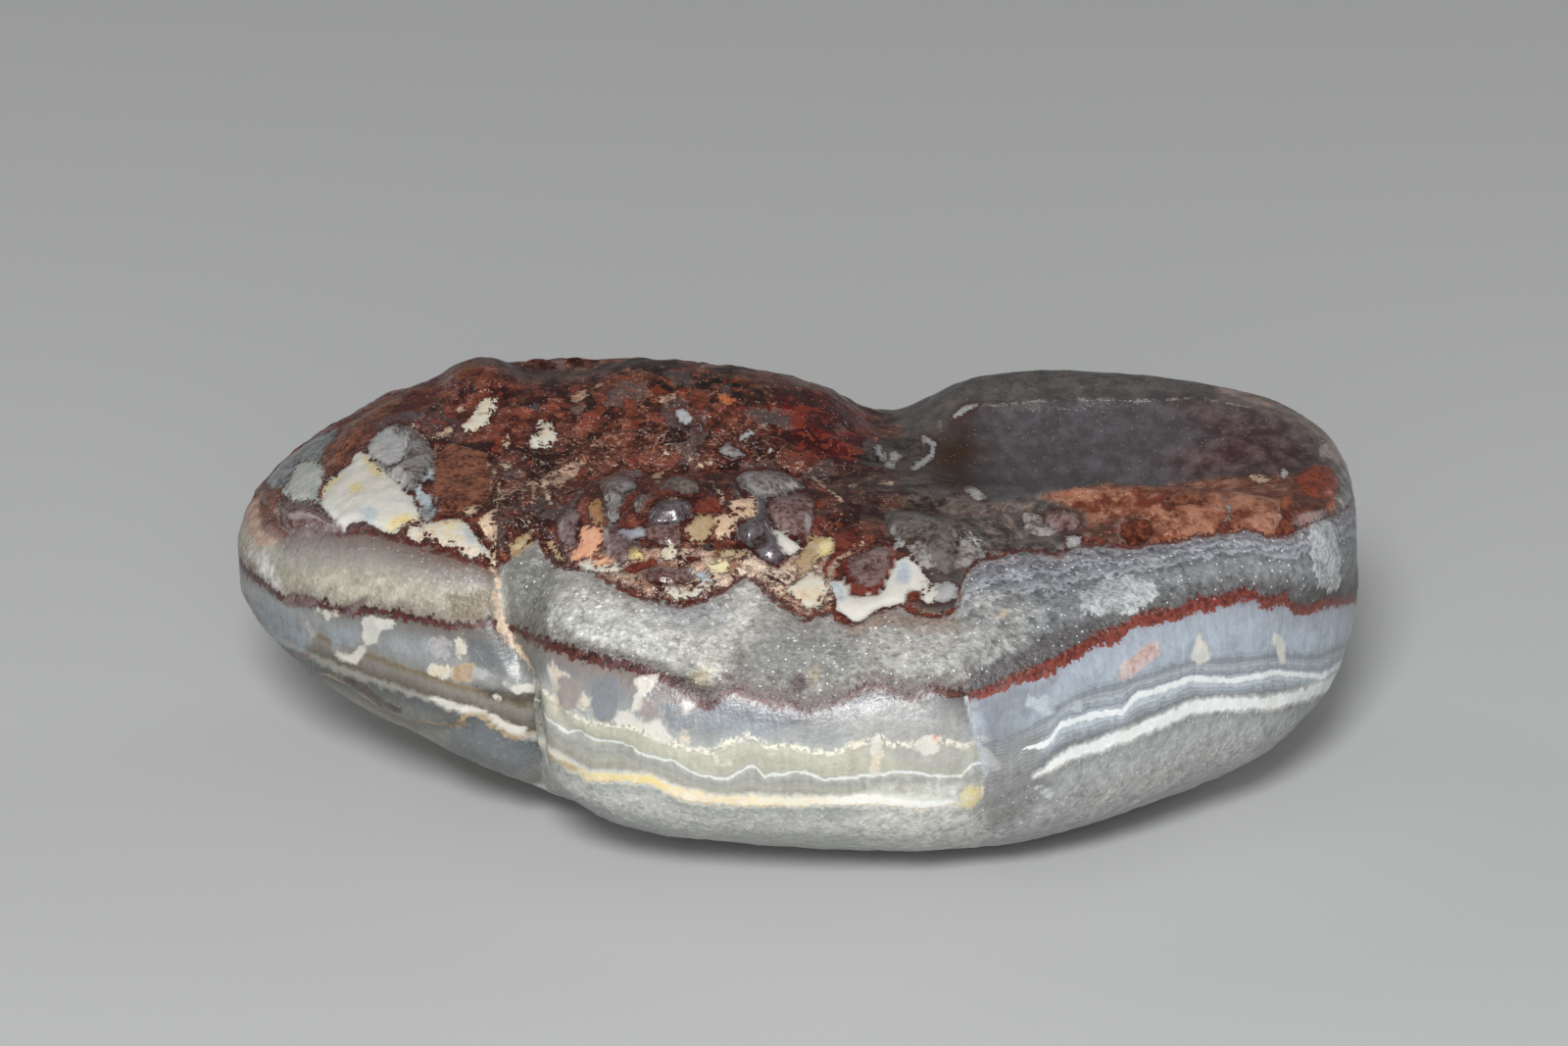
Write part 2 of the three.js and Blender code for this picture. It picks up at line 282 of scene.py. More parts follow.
# Patches: kind and outline, which goes on in the indented lines. A later patch lies over an
# earlier one.
PATCHES = """
shoulder: 270,492 283,472 312,450 336,440 344,437 342,448 331,459 327,472 314,468 303,474 294,492
  286,498 275,497
sage: 286,498 294,492 303,474 314,468 327,472 333,483 327,500 325,518 312,511 301,513 288,505
maroon: 283,509 301,515 312,512 327,520 333,525 344,535 353,544 331,544 312,548 292,544 287,531
brown: 265,498 275,498 283,509 287,531 292,544 283,550 268,542 263,522
pink brown: 251,513 265,499 263,522 268,542 283,550 279,557 262,555 253,544 249,529
brown: 327,474 331,466 342,450 349,435 370,422 392,409 410,403 414,413 401,419 379,433 362,457
  347,477 333,479
light grey: 373,457 381,445 397,435 407,442 414,457 410,472 397,477 381,468
grey: 397,435 405,432 420,437 436,450 444,463 440,479 427,496 420,503 412,496 397,485 379,468
  397,477 410,472 414,457 407,442
blue white: 440,479 445,474 443,487 433,494 430,500 439,506 442,513 436,520 429,516 424,505 429,494
shoulder: 427,513 436,520 444,511 445,524 436,533 430,527
brown: 445,457 457,455 479,457 497,463 501,483 503,505 490,520 470,522 449,522 442,505 442,483
porcelain: 368,461 375,463 390,477 405,492 420,509 430,527 427,533 412,537 401,544 390,542 379,535
  368,532 357,535 351,541 344,533 333,524 327,513 330,498 338,487 351,481 357,472 362,463
yellow: 327,509 329,498 338,487 351,481 349,490 340,496 333,505
yellow: 392,542 397,531 410,524 427,525 429,532 412,537 401,544
yellow: 370,463 381,468 392,481 388,492 377,483 370,474
yellow: 357,495 368,492 375,500 366,505 358,504 356,509
blue white: 366,520 379,516 388,524 381,535 370,531
cream: 412,542 420,537 436,534 449,529 470,527 481,537 494,553 501,563 500,569 490,563 481,570
  470,563 464,557 453,557 447,559 436,548 427,553 418,548
blue white: 470,537 481,538 488,550 483,559 475,553
yellow: 451,533 464,531 468,540 457,544
cream: 470,435 481,424 490,409 501,404 510,406 505,418 497,433 486,442 475,442
tan: 464,417 470,413 477,418 473,423 466,422
tan: 418,429 427,433 429,442 438,446 447,444 457,433 466,435 462,444 449,450 436,448 423,440
tan: 510,450 516,437 520,444 522,457 512,458
tan: 485,531 497,522 504,520 503,544 497,545
tan: 473,520 481,518 492,518 486,525 479,528
ochre: 518,557 529,544 542,542 544,553 529,570 520,568
pink brown: 507,505 520,498 544,487 560,485 560,492 540,498 520,509 510,513
light grey: 530,469 536,463 538,469 533,474
tan: 511,472 520,470 523,477 514,479
cream: 546,432 551,419 554,418 557,427 564,426 566,439 572,447 561,456 545,457 540,453 540,446
  550,444
pink brown: 579,397 595,391 600,401 590,408 580,406
pink brown: 600,389 614,382 616,389 604,394
pink brown: 670,406 690,401 691,406 680,415 672,412
light grey: 689,419 698,416 708,427 701,435 692,432
pale blue: 710,433 715,432 717,438 713,441
light grey: 754,447 761,441 770,438 770,443 761,449 755,451
porcelain: 782,460 786,456 790,460 787,465
grey: 730,459 742,451 760,465 742,466
tan: 704,473 716,470 728,471 721,476 707,475
tan: 663,487 667,478 677,478 676,489 670,494
brick: 704,401 721,396 726,408 716,418 707,415
apricot: 727,403 738,401 752,408 750,415 738,413
brick: 635,408 647,406 650,422 638,425
dark grey: 567,532 576,518 590,503 609,488 630,478 652,478 659,483 647,489 635,485 619,486 604,494
  592,506 585,520 591,525 589,546 585,557 577,557 570,546
grey: 609,491 621,486 635,485 648,489 650,496 645,503 636,507 634,518 633,527 625,533 619,525
  620,513 613,500
red: 634,522 636,510 646,502 647,508 641,520 636,528
olive grey: 646,513 653,505 661,503 667,508 664,518 654,527 647,522
olive grey: 673,500 678,490 688,485 702,487 712,494 713,503 707,507 692,506 680,504
violet: 664,522 673,513 688,510 702,512 708,520 702,527 695,534 673,534 661,534
maroon: 661,534 673,534 695,534 692,541 695,553 688,558 673,556 661,551 658,541
grey: 750,485 761,480 783,479 802,482 811,487 821,496 809,502 792,508 778,505 766,502 754,496
red: 704,522 714,513 726,503 735,508 740,522 728,522 711,525
tan: 742,513 754,505 769,506 772,515 771,526 761,530 752,528 745,522
buff: 753,518 758,514 760,520 755,524
ochre: 698,541 704,532 711,525 721,522 730,527 730,534 726,541 717,558 709,557 704,551
tan: 732,527 740,522 751,528 751,539 744,549 733,551 728,547 730,537
dark hole: 716,557 728,553 730,560 719,564
violet: 772,503 781,510 783,525 788,537 793,552 803,565 795,576 778,572 769,563 760,558 752,546
  754,534 765,531 773,526
dark hole: 765,551 773,546 783,549 784,558 778,563 770,560
maroon: 785,510 797,506 811,504 823,503 831,513 829,532 826,549 816,555 809,547 792,537 785,525
porcelain: 789,538 796,543 809,551 817,558 807,568 800,566 793,556
ochre: 809,572 821,558 826,546 835,544 850,549 852,557 845,569 834,572 826,585 816,585
yellow: 834,555 847,547 852,552 850,565 838,572 833,565
cream: 801,601 814,591 826,583 840,589 846,603 838,620 821,620 809,610
red: 840,595 840,582 847,568 850,556 858,541 872,534 878,540 870,556 858,575 846,591
peach: 576,572 584,563 591,553 590,541 597,534 611,534 619,541 614,556 610,563 623,566 626,573
  611,578 597,570 589,575
cream: 589,575 597,570 611,578 626,573 635,580 628,587 611,582 597,580
buff: 601,514 611,506 617,518 617,534 604,535 600,525
pale blue: 630,538 645,540 655,537 660,544 652,551 642,548 632,545
dark grey: 617,537 629,535 633,546 642,549 652,552 655,560 645,572 632,575 619,566 615,551
yellow: 645,561 657,561 666,568 655,573 642,572
cream: 673,559 688,556 693,563 685,573 675,569
yellow: 720,574 735,570 748,575 745,585 730,587 721,580
ochre: 730,560 754,560 764,570 750,572 735,570
ochre: 554,546 566,551 578,570 576,577 566,568 558,556
cream: 673,599 688,596 695,605 704,602 721,591 728,596 716,605 697,612 683,610
blue white: 707,580 721,585 730,595 723,594 711,588
red: 635,581 647,574 669,572 673,577 654,583 640,585
red: 600,568 611,565 616,569 604,572
red: 697,568 711,566 715,572 704,575
maroon: 669,580 688,580 702,577 707,589 695,596 678,599 664,596 659,587
pink brown: 566,487 585,475 597,472 588,484 571,499 564,496
red: 858,575 871,561 885,557 894,550 907,552 916,564 914,573 907,586 900,600 897,607 882,606 869,608
  863,595 858,586
maroon: 866,570 879,563 893,556 905,558 911,565 905,582 897,598 885,601 872,595 866,584
red: 844,589 850,580 858,576 857,584 853,591 846,593
porcelain: 848,595 857,591 863,595 869,608 882,606 897,607 902,600 907,588 915,573 925,568 935,575
  948,591 955,600 953,614 944,616 939,605 928,601 925,614 914,616 903,617 889,624 882,631 871,633
  860,627 853,620 853,609
blue white: 848,598 855,593 862,600 866,611 857,618 853,609
blue white: 914,575 925,570 932,584 928,598 919,598 912,591
cream: 937,591 948,591 949,602 944,611 939,602
facet: 925,557 939,552 948,568 955,586 944,580 937,575 930,566
red: 925,605 937,601 939,609 930,614 925,610
brick: 925,616 939,622 957,625 971,622 978,609 982,598 980,618 971,627 957,630 939,627 928,625
light grey: 953,595 969,593 978,598 975,609 966,614 955,614
glass: 904,520 916,516 935,518 953,525 975,527 978,545 975,568 973,586 962,586 955,577 948,568
  944,552 937,547 928,549 919,551 911,549 906,539 903,527
light grey: 911,553 919,550 924,553 920,561 913,558
facet: 977,559 982,549 991,555 1000,557 1010,564 998,570 985,578 977,582
sugar: 981,538 991,543 1002,553 997,556 986,547
maroon: 1062,525 1075,520 1098,522 1103,530 1098,540 1082,541 1069,536
facet: 1044,525 1053,522 1062,527 1064,534 1078,543 1073,548 1057,545 1046,541
sugar: 1102,605 1115,598 1135,586 1158,585 1171,595 1178,596 1183,605 1169,616 1155,625 1105,625
brick: 1144,535 1155,528 1174,532 1178,544 1169,554 1151,555 1142,546
light grey: 1085,548 1096,545 1104,548 1103,556 1090,557
light grey: 1170,573 1176,569 1180,573 1176,580
brick: 1305,516 1319,494 1324,498 1333,507 1342,510 1353,507 1362,510 1360,525 1342,530 1328,541
  1310,547 1299,544 1308,528
orange: 1319,487 1330,478 1344,474 1360,478 1367,489 1367,498 1360,507 1353,507 1342,510 1333,507
  1324,498
apricot: 1303,514 1312,503 1319,500 1317,514 1308,519
apricot: 1353,514 1362,507 1365,516 1360,524 1354,519
tan: 1272,485 1290,483 1298,489 1290,494 1276,489
light grey: 1307,478 1312,475 1316,482 1310,489 1307,486
brown: 1187,507 1201,500 1228,500 1233,512 1219,514 1205,516 1192,519
sugar: 1337,535 1349,528 1361,527 1363,544 1367,573 1368,598 1358,607 1346,598 1342,575 1335,557
porcelain: 1216,674 1217,661 1223,644 1230,654 1235,669 1233,674 1225,678
porcelain: 1297,653 1300,644 1306,647 1312,656 1312,677 1305,676 1302,661
salmon: 1138,690 1144,679 1159,666 1175,653 1184,658 1183,669 1169,679 1154,691 1141,694
blue white: 1046,720 1050,708 1059,712 1067,707 1073,716 1067,722 1077,727 1067,729 1056,724
blue white: 1093,722 1096,712 1106,716 1109,723 1098,726
yellow: 980,808 991,802 1002,804 1001,819 989,826 980,822
light grey: 1001,764 1008,764 1022,779 1019,787 1008,783 1002,774
sugar: 1056,803 1064,799 1072,804 1080,815 1071,817 1062,810
tan: 1019,626 1023,621 1027,624 1026,632 1022,632
cream: 561,677 564,671 571,683 577,686 581,690 574,689 571,694 570,706 569,717 573,726 567,726
  563,717 561,703
mauve: 571,691 589,693 596,697 593,709 587,723 577,726 570,720 569,706
cream: 589,723 591,709 596,704 601,717 603,724
slate: 603,691 629,690 631,697 630,711 631,726 627,734 617,739 607,731 603,720
porcelain: 647,694 654,690 666,689 673,687 670,697 663,706 654,710 653,723 649,727 643,726 646,711
  650,703
mauve: 653,726 654,716 660,710 667,713 671,726 670,733 659,734
slate: 673,721 686,716 697,717 700,726 709,729 710,740 703,746 691,746 683,739
porcelain: 626,734 630,726 639,724 646,729 649,734 660,737 674,733 681,747 686,750 686,757 674,758
  666,756 657,744 646,739 631,740
porcelain: 694,714 703,713 709,716 711,720 706,724 701,726 699,731 697,723
cream: 728,774 731,771 735,772 735,777 732,781 729,779
cream: 739,780 741,775 746,775 747,780 744,783
cream: 889,766 894,750 901,754 900,769 897,791 891,794 887,783
porcelain: 933,763 943,750 954,749 960,757 959,769 943,771
peach: 943,749 954,747 961,757 959,760 951,752
cream: 689,750 697,747 707,754 703,758 694,757
dark hole: 878,466 889,457 898,450 924,446 942,448 942,459 933,472 924,480 907,479 889,477 878,474
light grey: 892,454 898,453 903,461 902,467 896,463
light grey: 908,461 913,458 919,463 916,469 910,467
light grey: 904,470 911,468 913,474 908,478
light grey: 973,428 980,414 989,412 1001,414 996,420 982,426 977,430
tan: 894,492 904,490 916,491 911,494 898,495
tan: 863,497 869,492 877,493 873,498
facet: 982,498 989,493 998,499 1009,510 1000,511 993,507
porcelain: 368,632 378,628 398,632 405,638 392,642 387,647 385,656 374,658 368,651 370,640
porcelain: 365,660 374,658 370,669 365,678 348,673 339,664 348,667 359,669
cream: 437,678 459,677 460,690 444,692 436,688
ochre: 461,678 483,678 481,695 465,697 460,690
cream: 465,647 471,647 476,664 473,670 467,669
light grey: 437,653 448,649 459,653 459,669 444,671 437,664
porcelain: 514,695 524,699 539,697 540,706 526,708 517,701
porcelain: 503,710 509,708 513,713 508,717
light grey: 483,682 496,682 505,688 492,692 484,688
light grey: 311,630 315,632 322,649 319,653 312,640
dark grey: 298,667 309,664 320,667 313,672 302,670
cream: 322,619 328,623 344,625 346,630 333,631 323,625
maroon: 287,614 298,603 307,607 324,609 322,617 307,619 292,619
dark grey: 350,623 365,612 376,607 378,611 365,623 355,630
"""
# Veins and fine lines: kind, half width in pixels, course
VEINS = [
    ("tan", 1.9,
     "502,474 509,492 506,509 504,544 501,574 507,592 505,614 509,637 522,661 533,675 541,689"),
    ("porcelain", 2.2, "441,712 463,719 485,723 502,732"),
    ("porcelain", 4.0, "502,732 515,743 531,745"),
    ("ochre", 1.6,
     "476,729 494,730 505,743 520,751 533,753 540,751 548,760 556,772 573,777 596,788"),
    ("ochre", 4.2, "333,688 357,699 374,712 396,725 420,736 441,740 461,743 472,736"),
    # Painted shade in the crevice under the left lobe's lip
    ("dark hole", 3.6, "357,693 374,703 392,717 409,723"),
    ("pink brown", 2.0, "512,508 530,498 552,488 574,482 597,472"),
    ("pink brown", 2.4, "533,496 531,508 534,519"),
    ("tan", 2.6, "553,490 558,502 561,513"),
    ("pink brown", 1.6, "545,492 546,506 543,518"),
    ("tan", 1.2, "726,490 731,499 738,507 742,513"),
    ("tan", 1.4, "846,592 850,580 858,570 872,562 880,553"),
    ("red", 1.6, "651,503 646,512 640,520 637,530"),
    ("red", 1.6, "668,500 667,510 660,518 655,524"),
    ("pink brown", 1.0, "700,508 690,507 680,505 672,501"),
    ("tan", 1.6, "818,484 828,483 844,497 860,510"),
    ("light grey", 2.4, "942,446 953,452 951,463 933,477"),
    # Painted highlight along the ridge of the dish's back rim
    ("painted rim highlight", 0.6, "1004,418 1060,413 1117,411 1162,413 1219,410 1280,420"),
    ("blue white", 1.0, "986,711 993,737 1000,760 1006,789"),
    ("facet", 1.2, "1250,536 1256,522 1250,510"),
    ("red", 1.5, "660,484 676,503 704,508"),
]
VEIN_EXTRA = 0.7  # pixels added to each half width
PATCH_MARGIN = 40  # pixels around a patch in which its distance is worked out
PATCH_REACH_MM = 2.0  # a vertex with no patch near counts as this far outside
PATCH_BLEND_MM = (-0.1, 0.2)  # where a patch without a rim fades into the one under it
LEAST_SEEN = 0.01

# Folds of the surface: height in mm, half width in mm, course
FOLDS = [
    (-0.40, 0.35, "498,540 505,570 513,630 525,665 540,700 546,745 550,800"),
    (0.22, 0.30, "965,432 1004,418 1060,413 1140,410 1219,410 1300,425 1350,455"),
    (-0.14, 0.25, "902,545 903,528 912,518 936,514 960,520 985,524"),
    (0.25, 0.40, "326,683 357,696 384,716 415,729 441,735 470,733"),
    (-0.40, 0.40, "330,697 357,708 384,728 415,741 445,748 470,744"),
    (-0.10, 0.15, "986,711 993,737 1000,760 1004,800 1004,860"),
    (-0.16, 0.20, "560,700 575,742 600,756 640,766"),
    (0.50, 0.90, "470,377 490,372 502,372"),
    (-0.45, 1.50, "545,370 590,368"),
    (-0.14, 0.22, "567,532 577,502 600,486 640,478 690,478 760,474 820,482 860,500"),
]

# The fine relief. Waves: height, longest wave and shift of the pattern
FRACTAL = (1.0, 2.0, 3)  # how fast the octaves fade, the gap between them and their number
WAVES_MM = {
    "all over": (0.05, 3.0, 0),
    "jasper": (0.13, 0.8, 80),
    "worn side": (0.05, 1.2, 20),
    "side grain": (0.03, 0.45, 0),
    "sugar": (0.02, 0.5, 60),
}
KNOB_HEIGHT_MM = 0.16
KNOB_SIZE_MM = 1.1
KNOB_SHIFT_MM = 40
KNOB_SLOPE = 1.4
TOP_STARTS_MM = (-0.1, 0.3)  # the jasper's relief fades in between these heights above line F
SUGAR_STARTS_MM = (0.1, 0.4)  # and the sugary quartz's above line D
# Patches: how far they smooth the jasper, from where to where inside their edge, and how they rise
PATCH_CALM = 0.7
PATCH_EDGE_MM = (-0.05, 0.15)
LIFT_EDGE_MM = (-0.08, 0.42)
SIDE_LIFT = 0.3  # the share of a patch's lift that is left on the sides
# Ridges (+) and grooves (-) along edges: height and half width
RIM_GROOVE_MM = (-0.10, 0.16)
RIM_OFFSET_MM = 0.06  # the groove around a patch lies this far outside its edge
BAND_A_RIDGE_MM = (0.04, 0.3)
BAND_D_GROOVE_MM = (-0.02, 0.2)
BAND_F_GROOVE_MM = (-0.10, 0.15)
RELIEF_START_MM = (0.1, 1.0)  # the relief fades in between these heights above the floor

# Colours through the layers, by level: lines A, B, C, D and F are at 1, 2, 3, 4 and 5
FRONT_LAYERS = [
    (0.0, (172, 174, 170)), (0.55, (177, 178, 173)), (0.85, (150, 152, 148)),
    (1.1, (155, 160, 156)), (1.3, (142, 138, 127)), (1.5, (151, 151, 141)), (1.7, (140, 141, 136)),
    (1.95, (158, 159, 149)), (2.25, (162, 161, 146)), (2.6, (169, 168, 154)),
    (2.9, (171, 169, 154)), (3.05, (154, 156, 154)), (3.5, (129, 131, 132)),
    (3.85, (122, 113, 108)), (4.03, (90, 74, 67)), (4.15, (117, 112, 107)), (4.3, (149, 148, 142)),
    (4.6, (157, 155, 150)), (4.9, (141, 137, 133)),
]
RIGHT_LAYERS = [
    (0.0, (155, 156, 154)), (0.6, (154, 156, 156)), (0.85, (130, 132, 133)), (1.2, (88, 90, 94)),
    (1.45, (129, 134, 139)), (1.7, (156, 165, 171)), (1.85, (180, 189, 194)),
    (1.95, (140, 150, 162)), (2.1, (164, 172, 180)), (2.25, (130, 138, 145)),
    (2.5, (154, 161, 167)), (2.75, (122, 128, 134)), (3.0, (151, 160, 170)),
    (3.35, (158, 167, 178)), (3.8, (146, 152, 162)), (3.95, (122, 106, 110)), (4.05, (69, 63, 61)),
    (4.18, (92, 90, 91)), (4.35, (116, 118, 120)), (4.55, (126, 130, 133)), (4.63, (98, 98, 103)),
    (4.69, (152, 155, 160)), (4.75, (98, 98, 104)), (4.81, (156, 159, 165)), (4.87, (94, 93, 98)),
    (4.93, (138, 137, 141)), (4.98, (104, 88, 86)),
]
LEFT_LAYERS = [
    (0.0, (135, 132, 122)), (0.55, (112, 112, 109)), (0.85, (82, 85, 83)), (1.2, (86, 79, 66)),
    (1.45, (105, 101, 94)), (1.7, (120, 116, 109)), (2.0, (111, 96, 73)), (2.2, (123, 122, 118)),
    (2.6, (128, 130, 129)), (3.0, (135, 136, 135)), (3.5, (118, 119, 118)), (3.85, (98, 93, 89)),
    (4.0, (79, 71, 65)), (4.1, (128, 118, 108)), (4.3, (153, 148, 132)), (4.55, (147, 143, 133)),
    (4.72, (126, 119, 114)), (4.84, (109, 95, 88)), (4.95, (107, 89, 82)),
]
TOP_LEVEL = 5.2  # a little over the highest level in these lists
LINE_C_LEVEL = 3.0
# Levels between which each kind of stone begins or ends on the sides
SUGAR_STARTS = (4.0, 4.2)
SUGAR_ENDS = (5.1, 4.95)
GLASS_STARTS = (1.0, 1.1)
GLASS_ENDS = (4.0, 3.8)
BASE_ENDS = (1.0, 0.8)
BASE_SUGAR = 0.55  # how sugary the base is

# The bands: colours along the band on line A from the pebble's left end to its right end, then
# the thin edges and scraps of it, and the colours of the others. Pairs are dark and light.
BAND_A_COLOURS = [
    (0.0, (168, 160, 142)), (0.26, (202, 196, 184)), (0.31, (200, 188, 158)),
    (0.34, (214, 192, 126)), (0.38, (216, 194, 128)), (0.41, (218, 200, 168)),
    (0.46, (224, 208, 172)), (0.50, (222, 208, 176)), (0.54, (226, 224, 215)),
    (0.75, (226, 230, 232)), (1.0, (220, 224, 224)),
]
BAND_A_SCRAPS = (222, 222, 212)
BAND_A_HALO = (208, 208, 200)
BAND_A_LOWER_EDGE = (186, 150, 96)
BAND_B_COLOUR = (220, 224, 223)
LINE_C_COLOUR = (228, 222, 202)
DARK_BAND_D = ((36, 14, 11), (70, 26, 20))  # at the front and at the right side
LIGHT_BAND_D = ((86, 36, 28), (128, 58, 44))
BAND_F_COLOURS = ((56, 24, 19), (112, 52, 40))

# Colours mixed into the jasper, around and over the patches, and of the painted glints
GREY_PIECES = ((44, 36, 37), (112, 100, 99))
ORANGE_CRUMBS = (132, 56, 36)
CRACK_COLOUR = (34, 16, 13)
SCRAP_COLOURS = ((150, 106, 84), (216, 198, 178))
THREAD_COLOUR = (176, 130, 106)
SPECK_COLOUR = (180, 150, 130)
# Painted shade for the small pits in the jasper
PIT_SHADE_COLOUR = (32, 15, 12)
STAIN_COLOUR = (160, 116, 86)
RIM_COLOUR = (60, 22, 17)
# Painted glints: bright specks that stand in for light caught by small crystals
SIDE_PAINTED_GLINT = (240, 242, 242)
TOP_PAINTED_GLINT = (230, 222, 218)

# Noise patterns: waves per mm, detail, roughness and distortion
NOISES = {
    "soft": (1.3, 3, 0.6),
    "fine": (5.0, 3, 0.65),
    "wiggle": (2.6, 2, 0.6),
    "drift": (0.9, 3),
    "speckle": (8.0, 2, 0.6),
    "scraps": (2.0, 5, 0.66, 0.6),
    "threads": (1.5, 4, 0.6, 0.8),
    "stains": (2.2, 4, 0.65),
}
WOBBLE_MM = (0.35, 0.30, 0.35)  # how far "soft", "fine" and "wiggle" shift the edges
LEVEL_WOBBLE = 0.45  # how far that shifts the levels
DRIFT_MM = 2.4  # how far the jasper's pieces are pushed out of shape
PIECES_PER_MM = 0.7
CRUMBS_PER_MM = 2.1
CRYSTALS_PER_MM = 5.5
GLINTS_PER_MM = 7.5
FIBRES_PER_MM = (4.5, 4.5, 0.7)  # long from base to top
LINES_PER_LEVEL = 44.0  # radians of the fine lines' waves for each level

ROUGHNESS = (0.55, 0.14)  # without gloss and with full gloss
STONE_IOR = 1.54
BUMP_DEPTH = 0.001

FLOOR_COLOUR = (190, 191, 191)
FLOOR_HALF = 2.0
# Lights: name, place, what it points at, diameter, power in watts
LIGHTS = [
    ("key", (-0.035, -0.38, 0.27), (0, 0, 0), 0.115, 1.95),
    ("front", (0.0, -0.44, 0.155), (0, 0, 0.006), 0.26, 0.9),
    ("left", (-0.32, 0.22, 0.16), (0, 0, 0.008), 0.22, 0.22),
    ("right", (0.32, 0.22, 0.16), (0, 0, 0.008), 0.22, 0.22),
]
WORLD_STRENGTH = 0.14

def linear(colour):
    """A colour given as sRGB from 0 to 255, as the linear colour that shaders take."""
    parts = np.asarray(colour, float) / 255
    return np.where(parts <= 0.04045, parts / 12.92, ((parts + 0.055) / 1.055) ** 2.4)


def eased(value, low, high):
    """0 at low, 1 at high and a smooth step between them."""
    share = np.clip((value - low) / (high - low), 0, 1)
    return share * share * (3 - 2 * share)


def ridge(distance, height, half_width):
    """The full height at no distance, falling smoothly to nearly 0 at twice the half width."""
    return height * np.exp(-((distance / half_width) ** 2))


def add_object(name, data):
    made = bpy.data.objects.new(name, data)
    bpy.context.collection.objects.link(made)
    return made


def add_camera():
    data = bpy.data.cameras.new("camera")
    data.lens = LENS_MM
    data.sensor_width = SENSOR_MM
    data.clip_start, data.clip_end = CLIP_RANGE
    camera = add_object("camera", data)
    camera.location = TARGET + Vector(-FORWARDS) * DISTANCE
    camera.rotation_euler = Euler((math.pi / 2 - ELEVATION, 0, 0))
    bpy.context.scene.camera = camera


def to_photo(places, eye):
    """The photograph's pixel for each place."""
    away = places - np.array(eye)
    depth = away @ FORWARDS
    across = PHOTO_WIDTH / 2 + PIXELS_PER_TAN * (away @ RIGHTWARDS) / depth
    down = PHOTO_HEIGHT / 2 - PIXELS_PER_TAN * (away @ UPWARDS) / depth
    return np.stack((across, down), axis=1)


def from_photo(pixel, eye, tree):
    """Where the line of sight through a pixel meets the stone, or None."""
    across = (pixel[0] - PHOTO_WIDTH / 2) / PIXELS_PER_TAN
    up = (PHOTO_HEIGHT / 2 - pixel[1]) / PIXELS_PER_TAN
    ray = Vector(FORWARDS + across * RIGHTWARDS + up * UPWARDS)
    return tree.ray_cast(eye, ray.normalized())[0]


def fine_mesh():
    """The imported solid's mesh, rounded and cut into small even faces."""
    source = add_object("pebble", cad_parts["stone"].data.copy())
    weld = source.modifiers.new("weld", "WELD")
    weld.merge_threshold = MERGE_DISTANCE
    rounding = source.modifiers.new("rounding", "SUBSURF")
    rounding.levels = ROUNDING_LEVELS
    even = source.modifiers.new("even", "REMESH")
    even.mode = "VOXEL"
    even.voxel_size = VOXEL
    smooth = source.modifiers.new("smooth", "SMOOTH")
    smooth.factor = SMOOTHING
    smooth.iterations = SMOOTHING_ROUNDS
    depsgraph = bpy.context.evaluated_depsgraph_get()
    mesh = bpy.data.meshes.new_from_object(source.evaluated_get(depsgraph))
    bpy.data.objects.remove(source)
    mesh.name = "pebble"
    mesh.materials.clear()
    return mesh


def read_vertices(mesh, what):
    values = np.zeros(len(mesh.vertices) * 3, np.float32)
    mesh.vertices.foreach_get(what, values)
    return values.reshape(-1, 3).astype(float)


def read_edges(mesh):
    ends = np.zeros(len(mesh.edges) * 2, np.int32)
    mesh.edges.foreach_get("vertices", ends)
    return ends.reshape(-1, 2)


def spread(values, edges, rounds):
    """Averages each vertex's value with its neighbours', again and again."""
    count = len(values)
    one, other = edges.T
    near = np.bincount(one, minlength=count) + np.bincount(other, minlength=count)
    for _ in range(rounds):
        total = np.bincount(one, values[other], count) + np.bincount(other, values[one], count)
        values = 0.5 * values + 0.5 * total / near
    return values


def seen_from(eye, places, normals, tree):
    """1 for each vertex that the photograph shows, else 0."""
    seen = np.zeros(len(places))
    towards = np.array(eye) - places
    towards /= np.linalg.norm(towards, axis=1)[:, None]
    facing = (towards * normals).sum(1) > GRAZING
    for i in np.flatnonzero(facing):
        start = Vector(places[i] + normals[i] * RAY_LIFT)
        if tree.ray_cast(start, Vector(towards[i]))[0] is None:
            seen[i] = 1
    return seen


def entries(text):
    """The kind and outline of each entry of a text in which indented lines go on with it."""
    return [entry.split(":") for entry in text.strip().replace("\n ", " ").splitlines()]


def points(course):
    """The pixels of an outline or a line that is written as "x,y x,y ..."."""
    return np.array([pair.split(",") for pair in course.split()], float)


def off_line(pixels, corners):
    """Distance in pixels from each pixel place to a line through the given corners."""
    nearest = np.full(len(pixels), np.inf)
    for start, end in zip(corners[:-1], corners[1:]):
        along = end - start
        share = np.clip(((pixels - start) @ along) / (along @ along), 0, 1)
        gap = pixels - start - share[:, None] * along
        nearest = np.minimum(nearest, (gap * gap).sum(1))
    return np.sqrt(nearest)


def inside(pixels, corners):
    """Distance in pixels from each pixel place to a closed outline, positive inside it."""
    within = np.zeros(len(pixels), bool)
    closed = np.vstack((corners, corners[:1]))
    for start, end in zip(closed[:-1], closed[1:]):
        if start[1] != end[1]:
            crosses = (start[1] > pixels[:, 1]) != (end[1] > pixels[:, 1])
            slant = (end[0] - start[0]) / (end[1] - start[1])
            within ^= crosses & (pixels[:, 0] < start[0] + (pixels[:, 1] - start[1]) * slant)
    return np.where(within, 1, -1) * off_line(pixels, closed)


def fractal(places_mm, wave):
    """Smooth noise around 0 at each place, with the given longest wave in mm."""
    return np.array([noise.fractal(Vector(place), *FRACTAL) for place in places_mm / wave])


def knobs(places_mm, size):
    """Rounded bumps about size mm apart: 1 on top of each and about 0 between them."""
    nearest = [noise.voronoi(Vector(place))[0][0] for place in places_mm / size]
    return 1 - KNOB_SLOPE * np.array(nearest)


